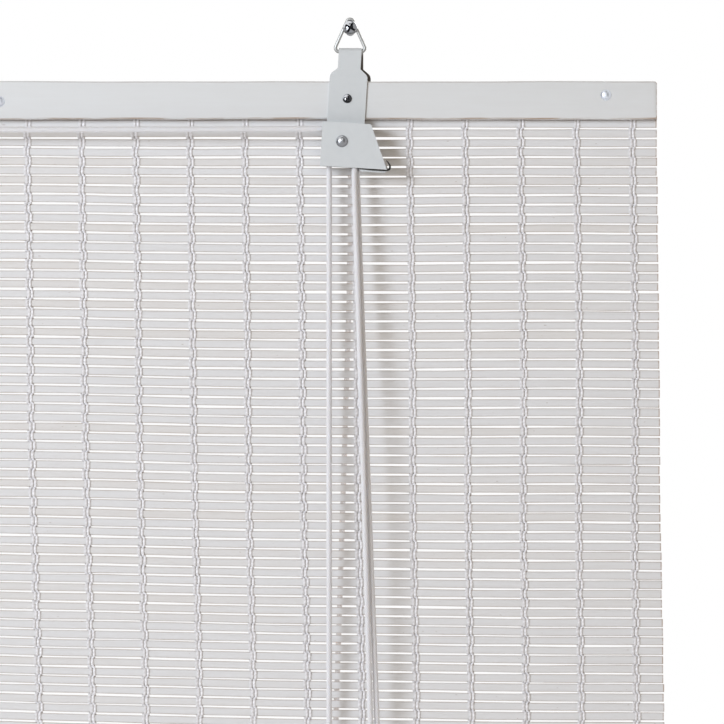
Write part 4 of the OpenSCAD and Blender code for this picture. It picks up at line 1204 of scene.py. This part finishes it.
class BLIND_OT_roll(bpy.types.Operator):
    """The slats and threads that are wound in the roll"""

    bl_idname = "blind.roll"
    bl_label = "Roll"

    def place(self, mat, s):
        """Point and outward direction, in Y and Z, at a length s into the roll."""
        r = math.sqrt(ROLL_R * ROLL_R - mat.turn_pitch * s / math.pi)
        a = math.pi + (ROLL_R - r) / mat.turn_pitch * TAU
        out = np.array([math.cos(a), math.sin(a)])
        return np.array([Y_ROLL, Z_ROLL]) + r * out, out

    def execute(self, context):
        mat = context.scene.blind_mat
        rng = np.random.RandomState(mat.seed + 5)
        gap = mat.slat_pitch - mat.slat_height
        slats = SlatMesh(21)
        # the outer face is the mat's front
        depth = SLAT_SECTION[:, 0] * -mat.slat_thickness / 2
        for i in range(mat.wound_slats):
            at, out = self.place(mat, i * mat.slat_pitch + gap + mat.slat_height / 2)
            along = np.array([-out[1], out[0]])
            x = slats.run(-HALF_W + rng.uniform(-0.6, 0.6) * MM, HALF_W + rng.uniform(-0.6, 0.6) * MM)
            half = mat.slat_height / 2 * rng.uniform(0.95, 1.02)
            wave = 0.06 * MM * np.sin(TAU * x / 0.2 + rng.uniform(0, TAU))
            up = (SLAT_SECTION[:, 1] * half)[None] + wave[:, None]
            y, z = (at[k] + depth[None] * out[k] - up * along[k] for k in (0, 1))
            slats.add(x, y, z, rng.uniform(0, 1) ** 2.2 * 0.6, x * GRAIN_ALONG + 13.7 * i, 4.7 * i + 900)
        slats.piece("wound_slats", "roll", ("roll_turns",))
        self.threads(mat, gap)
        return {"FINISHED"}

    def threads(self, mat, gap):
        """The strands on the outermost turn."""
        outer = int(math.ceil(TAU * ROLL_R / mat.slat_pitch)) + 1
        rng = np.random.RandomState(mat.seed + 55)
        strands = StrandMesh()
        width, fat = mat.strand_width, mat.strand_thickness
        face = mat.slat_thickness / 2 + fat * 0.4
        for column in column_places(mat):
            swing = rng.uniform(*SWING) * MM
            for pair in (0, 1):
                for side in (-1, 1):
                    x_gap = column + side * width * GAP_ROLL[0] + (CROSS_X if pair else -CROSS_X)
                    stations = []
                    for i in range(outer):
                        start = i * mat.slat_pitch + gap
                        lay = 1 if (i + pair) % 2 == 0 else -1
                        x = column + lay * (swing if i % 2 == 0 else -swing) + side * width / 2
                        for share in (0.14, 0.86):
                            at, out = self.place(mat, start + share * mat.slat_height)
                            stations.append(((x, *(at + out * lay * face)), width / 2, fat / 2, out))
                        at, out = self.place(mat, start + mat.slat_height + gap / 2)
                        stations.append(((x_gap, *at), width * GAP_ROLL[1], fat * GAP_ROLL[2], out))
                    tone = max(0.0, (0.32 if side < 0 else 0.02) + rng.uniform(-0.1, 0.1))
                    strands.add(stations, tone)
        strands.piece("wound_threads", "roll")


def dress(material, *nodes, round_edges=0.0):
    """A finish, and if asked slightly rounded edges, on nodes of the frame."""
    for node in nodes:
        piece = frame["nodes"][node]
        for slot in piece.material_slots:
            slot.material = finish_of(material)
        if round_edges:
            weld = piece.modifiers.new("one skin", "WELD")
            weld.merge_threshold = 1e-6
            bevel = piece.modifiers.new("broken edges", "BEVEL")
            bevel.width = round_edges
            bevel.segments = 2
            bevel.limit_method = "ANGLE"
            bevel.angle_limit = math.radians(40)
            piece.modifiers.new("even shading", "WEIGHTED_NORMAL").keep_sharp = True


def ripple(rng, x, most, lengths):
    """Waves of a lath's edge, of several lengths."""
    return sum(
        rng.uniform(0.03, most) * MM * np.sin(TAU * x / length + rng.uniform(0, TAU)) for length in lengths)


class BLIND_OT_laths(bpy.types.Operator):
    """The painted laths of the head, slightly uneven, and those in the roll"""

    bl_idname = "blind.laths"
    bl_label = "Laths"

    def execute(self, context):
        for seed, node in enumerate(("head_lath_front", "head_lath_back")):
            self.lath(node, np.random.RandomState(40 + seed))
        dress("white_painted_lath", "bottom_lath_front", "bottom_lath_back")
        return {"FINISHED"}

    def lath(self, node, rng):
        low, high = box_of(node)
        corner, trim = 0.9 * MM, 0.1 * MM
        middle, half = (low + high) / 2, (high - low) / 2
        section, edge = [], []
        for k, (sy, sz) in enumerate(((1, 1), (-1, 1), (-1, -1), (1, -1))):
            for s in np.radians([0, 30, 60, 90]):
                a = s + k * math.pi / 2
                section.append((
                    sy * (half[1] - corner) + corner * math.cos(a),
                    sz * (half[2] - corner) + corner * math.sin(a)))
                edge.append((0.6 if sz > 0 else 1.0) if 0 < s < 1.5 else 0.5)
        section = np.array(section)
        ends = [0.9955, 0.9985, 1]
        share = np.concatenate([[-1, -0.9985, -0.9955], np.linspace(-0.985, 0.985, 71), ends])
        x = share * half[0]
        squeeze = np.interp(np.abs(x) / half[0], ends, [1, 0.985, 0.93])
        waves_high = ripple(rng, x, 0.09, (0.06, 0.13, 0.31))
        waves_low = ripple(rng, x, 0.08, (0.04, 0.09, 0.22))
        ring = np.zeros((len(x), len(section), 3))
        ring[:, :, 0] = x[:, None]
        for k in (0, 1):
            ring[:, :, k + 1] = middle[k + 1] + section[None, :, k] * squeeze[:, None]
        upper = section[None, :, 1] > 0
        ring[:, :, 2] += np.where(upper, waves_high[:, None] - trim, waves_low[:, None] + trim)
        name = "painted_" + node
        mesh = ring_mesh(name, ring, 50)
        at_end = np.where(np.abs(x) > 0.999 * half[0], 1.0, 0.0)
        point_value(mesh, "edge", np.maximum(np.tile(edge, len(x)), np.repeat(at_end, len(section))))
        add_piece(name, mesh, "blind", finish_of("white_painted_lath"), (node,))


# the curled edge of the lock's housing: offsets from the plate's corner along X and Z, and half thickness
CURL = np.array([
    (-0.25, 4.2, 0.2), (0.65, 3.2, 0.3), (1.35, 2.0, 0.4), (1.45, 1.0, 0.45), (1.05, 0.15, 0.45),
    (0.2, -0.2, 0.42), (-1.7, -0.15, 0.42), (-6.7, 0.05, 0.4), (-10.4, 0.45, 0.3), (-13.7, 0.95, 0.2),
]) * MM


class BLIND_OT_brackets(bpy.types.Operator):
    """Painted straps and housings, wheels, roller and rivets"""

    bl_idname = "blind.brackets"
    bl_label = "Brackets"

    def execute(self, context):
        sheets = ("lock_strap", "lock_housing", "pulley_strap", "pulley_housing")
        dress("white_painted_steel", *sheets, round_edges=0.12 * MM)
        dress("zinc_rivet", "lock_axle", "pulley_axle")
        dress("milky_nylon", "lock_wheel", "pulley_wheel")
        dress("zinc_roller", "lock_roller", round_edges=0.1 * MM)
        self.curl()
        return {"FINISHED"}

    def curl(self):
        """The dark curled edge below the lock's front plate; its strip along the plate's bottom is painted
        shade of the gap under the plate.
        """
        low, high = box_of("lock_housing")
        front, back = low[1] + 0.5 * MM, high[1] - MM
        run = distances(CURL[:, :2])
        at = np.linspace(0, run[-1], 60)
        path = np.stack([np.interp(at, run, CURL[:, k]) for k in range(3)], -1)
        ahead = np.gradient(path[:, :2], axis=0)
        side = np.stack([-ahead[:, 1], ahead[:, 0]], -1) / np.linalg.norm(ahead, axis=1)[:, None]
        ring = []
        for out, y in ((-1, front), (1, front), (1, back), (-1, back)):
            flat = HOUSING_CORNER + path[:, :2] + out * side * path[:, 2:]
            ring.append(np.stack([flat[:, 0], np.full(len(at), y), flat[:, 1]], -1))
        mesh = ring_mesh("housing_curl", np.stack(ring, 1), 40)
        add_piece("housing_curl", mesh, "blind", finish_of("dark_curl_and_gap_shade"))


# a screw's thread: its pitch, turns and steps a turn, and its ridge: reach and place in the pitch
THREAD_PITCH, THREAD_TURNS, THREAD_STEPS = 1.7 * MM, 15, 28
THREAD_RIDGE = ((-0.1 * MM, -0.42), (0.0, -0.36), (1.0, -0.04), (1.0, 0.04), (0.0, 0.36), (-0.1 * MM, 0.42))


class BLIND_OT_fasteners(bpy.types.Operator):
    """Hanging screws and rings, strap screws and nails"""

    bl_idname = "blind.fasteners"
    bl_label = "Fasteners"

    def execute(self, context):
        for side in ("left", "right"):
            dress("chrome_screw", "hanging_screw_" + side)
            dress("zinc_ring_wire", "hanger_ring_" + side)
            self.thread(side)
        # the strap screws are darkened by a painted reflection of the dark room
        dress("strap_screw_painted_reflection", "lock_strap_screw", "pulley_strap_screw")
        dress("silver_nails", "head_nails", "bottom_nails")
        return {"FINISHED"}

    def thread(self, side):
        """A wood screw's ridge round the part in the wall."""
        low, high = box_of("hanging_screw_" + side)
        axis, tip = (low + high) / 2, high[1]
        a = np.arange(THREAD_TURNS * THREAD_STEPS + 1) * TAU / THREAD_STEPS
        y = 1.0 * MM + THREAD_PITCH * a / TAU
        r = (STUD_R - 0.02 * MM) * np.clip((tip - y) / (5.6 * MM), 0.2, 1)
        lift = 0.4 * MM * np.clip(a / TAU, 0, 1) * np.clip((tip - y) / (4 * MM), 0.15, 1)
        rings = []
        for out, shift in THREAD_RIDGE:
            reach = r + (lift * out if out > 0 else out)
            x, z = axis[0] + reach * np.cos(a), axis[2] + reach * np.sin(a)
            rings.append(np.stack([x, y + shift * THREAD_PITCH, z], -1))
        name = "screw_thread_" + side
        mesh = ring_mesh(name, np.stack(rings, 1), 35)
        add_piece(name, mesh, "hangers", finish_of("chrome_screw"))


class BLIND_PT_panel(bpy.types.Panel):
    bl_idname = "BLIND_PT_panel"
    bl_label = "Roll-up blind"
    bl_space_type = "VIEW_3D"
    bl_region_type = "UI"
    bl_category = "Blind"

    def draw(self, context):
        scene = context.scene
        for group in (scene.blind_mat, scene.blind_colours, scene.blind_stage):
            column = self.layout.column()
            for name in group.__annotations__:
                column.prop(group, name)
        for operator in OPERATORS:
            self.layout.operator(operator.bl_idname)


OPERATORS = (
    BLIND_OT_stage, BLIND_OT_pull_cords, BLIND_OT_lift_cords, BLIND_OT_slats, BLIND_OT_warp_threads,
    BLIND_OT_roll, BLIND_OT_laths, BLIND_OT_brackets, BLIND_OT_fasteners,
)
CLASSES = (BlindMat, BlindColours, BlindStage, *OPERATORS, BLIND_PT_panel)


def register():
    for item in CLASSES:
        bpy.utils.register_class(item)
    bpy.types.Scene.blind_mat = PointerProperty(type=BlindMat)
    bpy.types.Scene.blind_colours = PointerProperty(type=BlindColours)
    bpy.types.Scene.blind_stage = PointerProperty(type=BlindStage)


def unregister():
    del bpy.types.Scene.blind_stage
    del bpy.types.Scene.blind_colours
    del bpy.types.Scene.blind_mat
    for item in reversed(CLASSES):
        bpy.utils.unregister_class(item)


def main():
    register()
    bpy.ops.blind.stage()
    bpy.ops.blind.pull_cords()
    bpy.ops.blind.lift_cords()
    bpy.ops.blind.slats()
    bpy.ops.blind.warp_threads()
    bpy.ops.blind.roll()
    bpy.ops.blind.laths()
    bpy.ops.blind.brackets()
    bpy.ops.blind.fasteners()


if __name__ == "__main__":
    main()
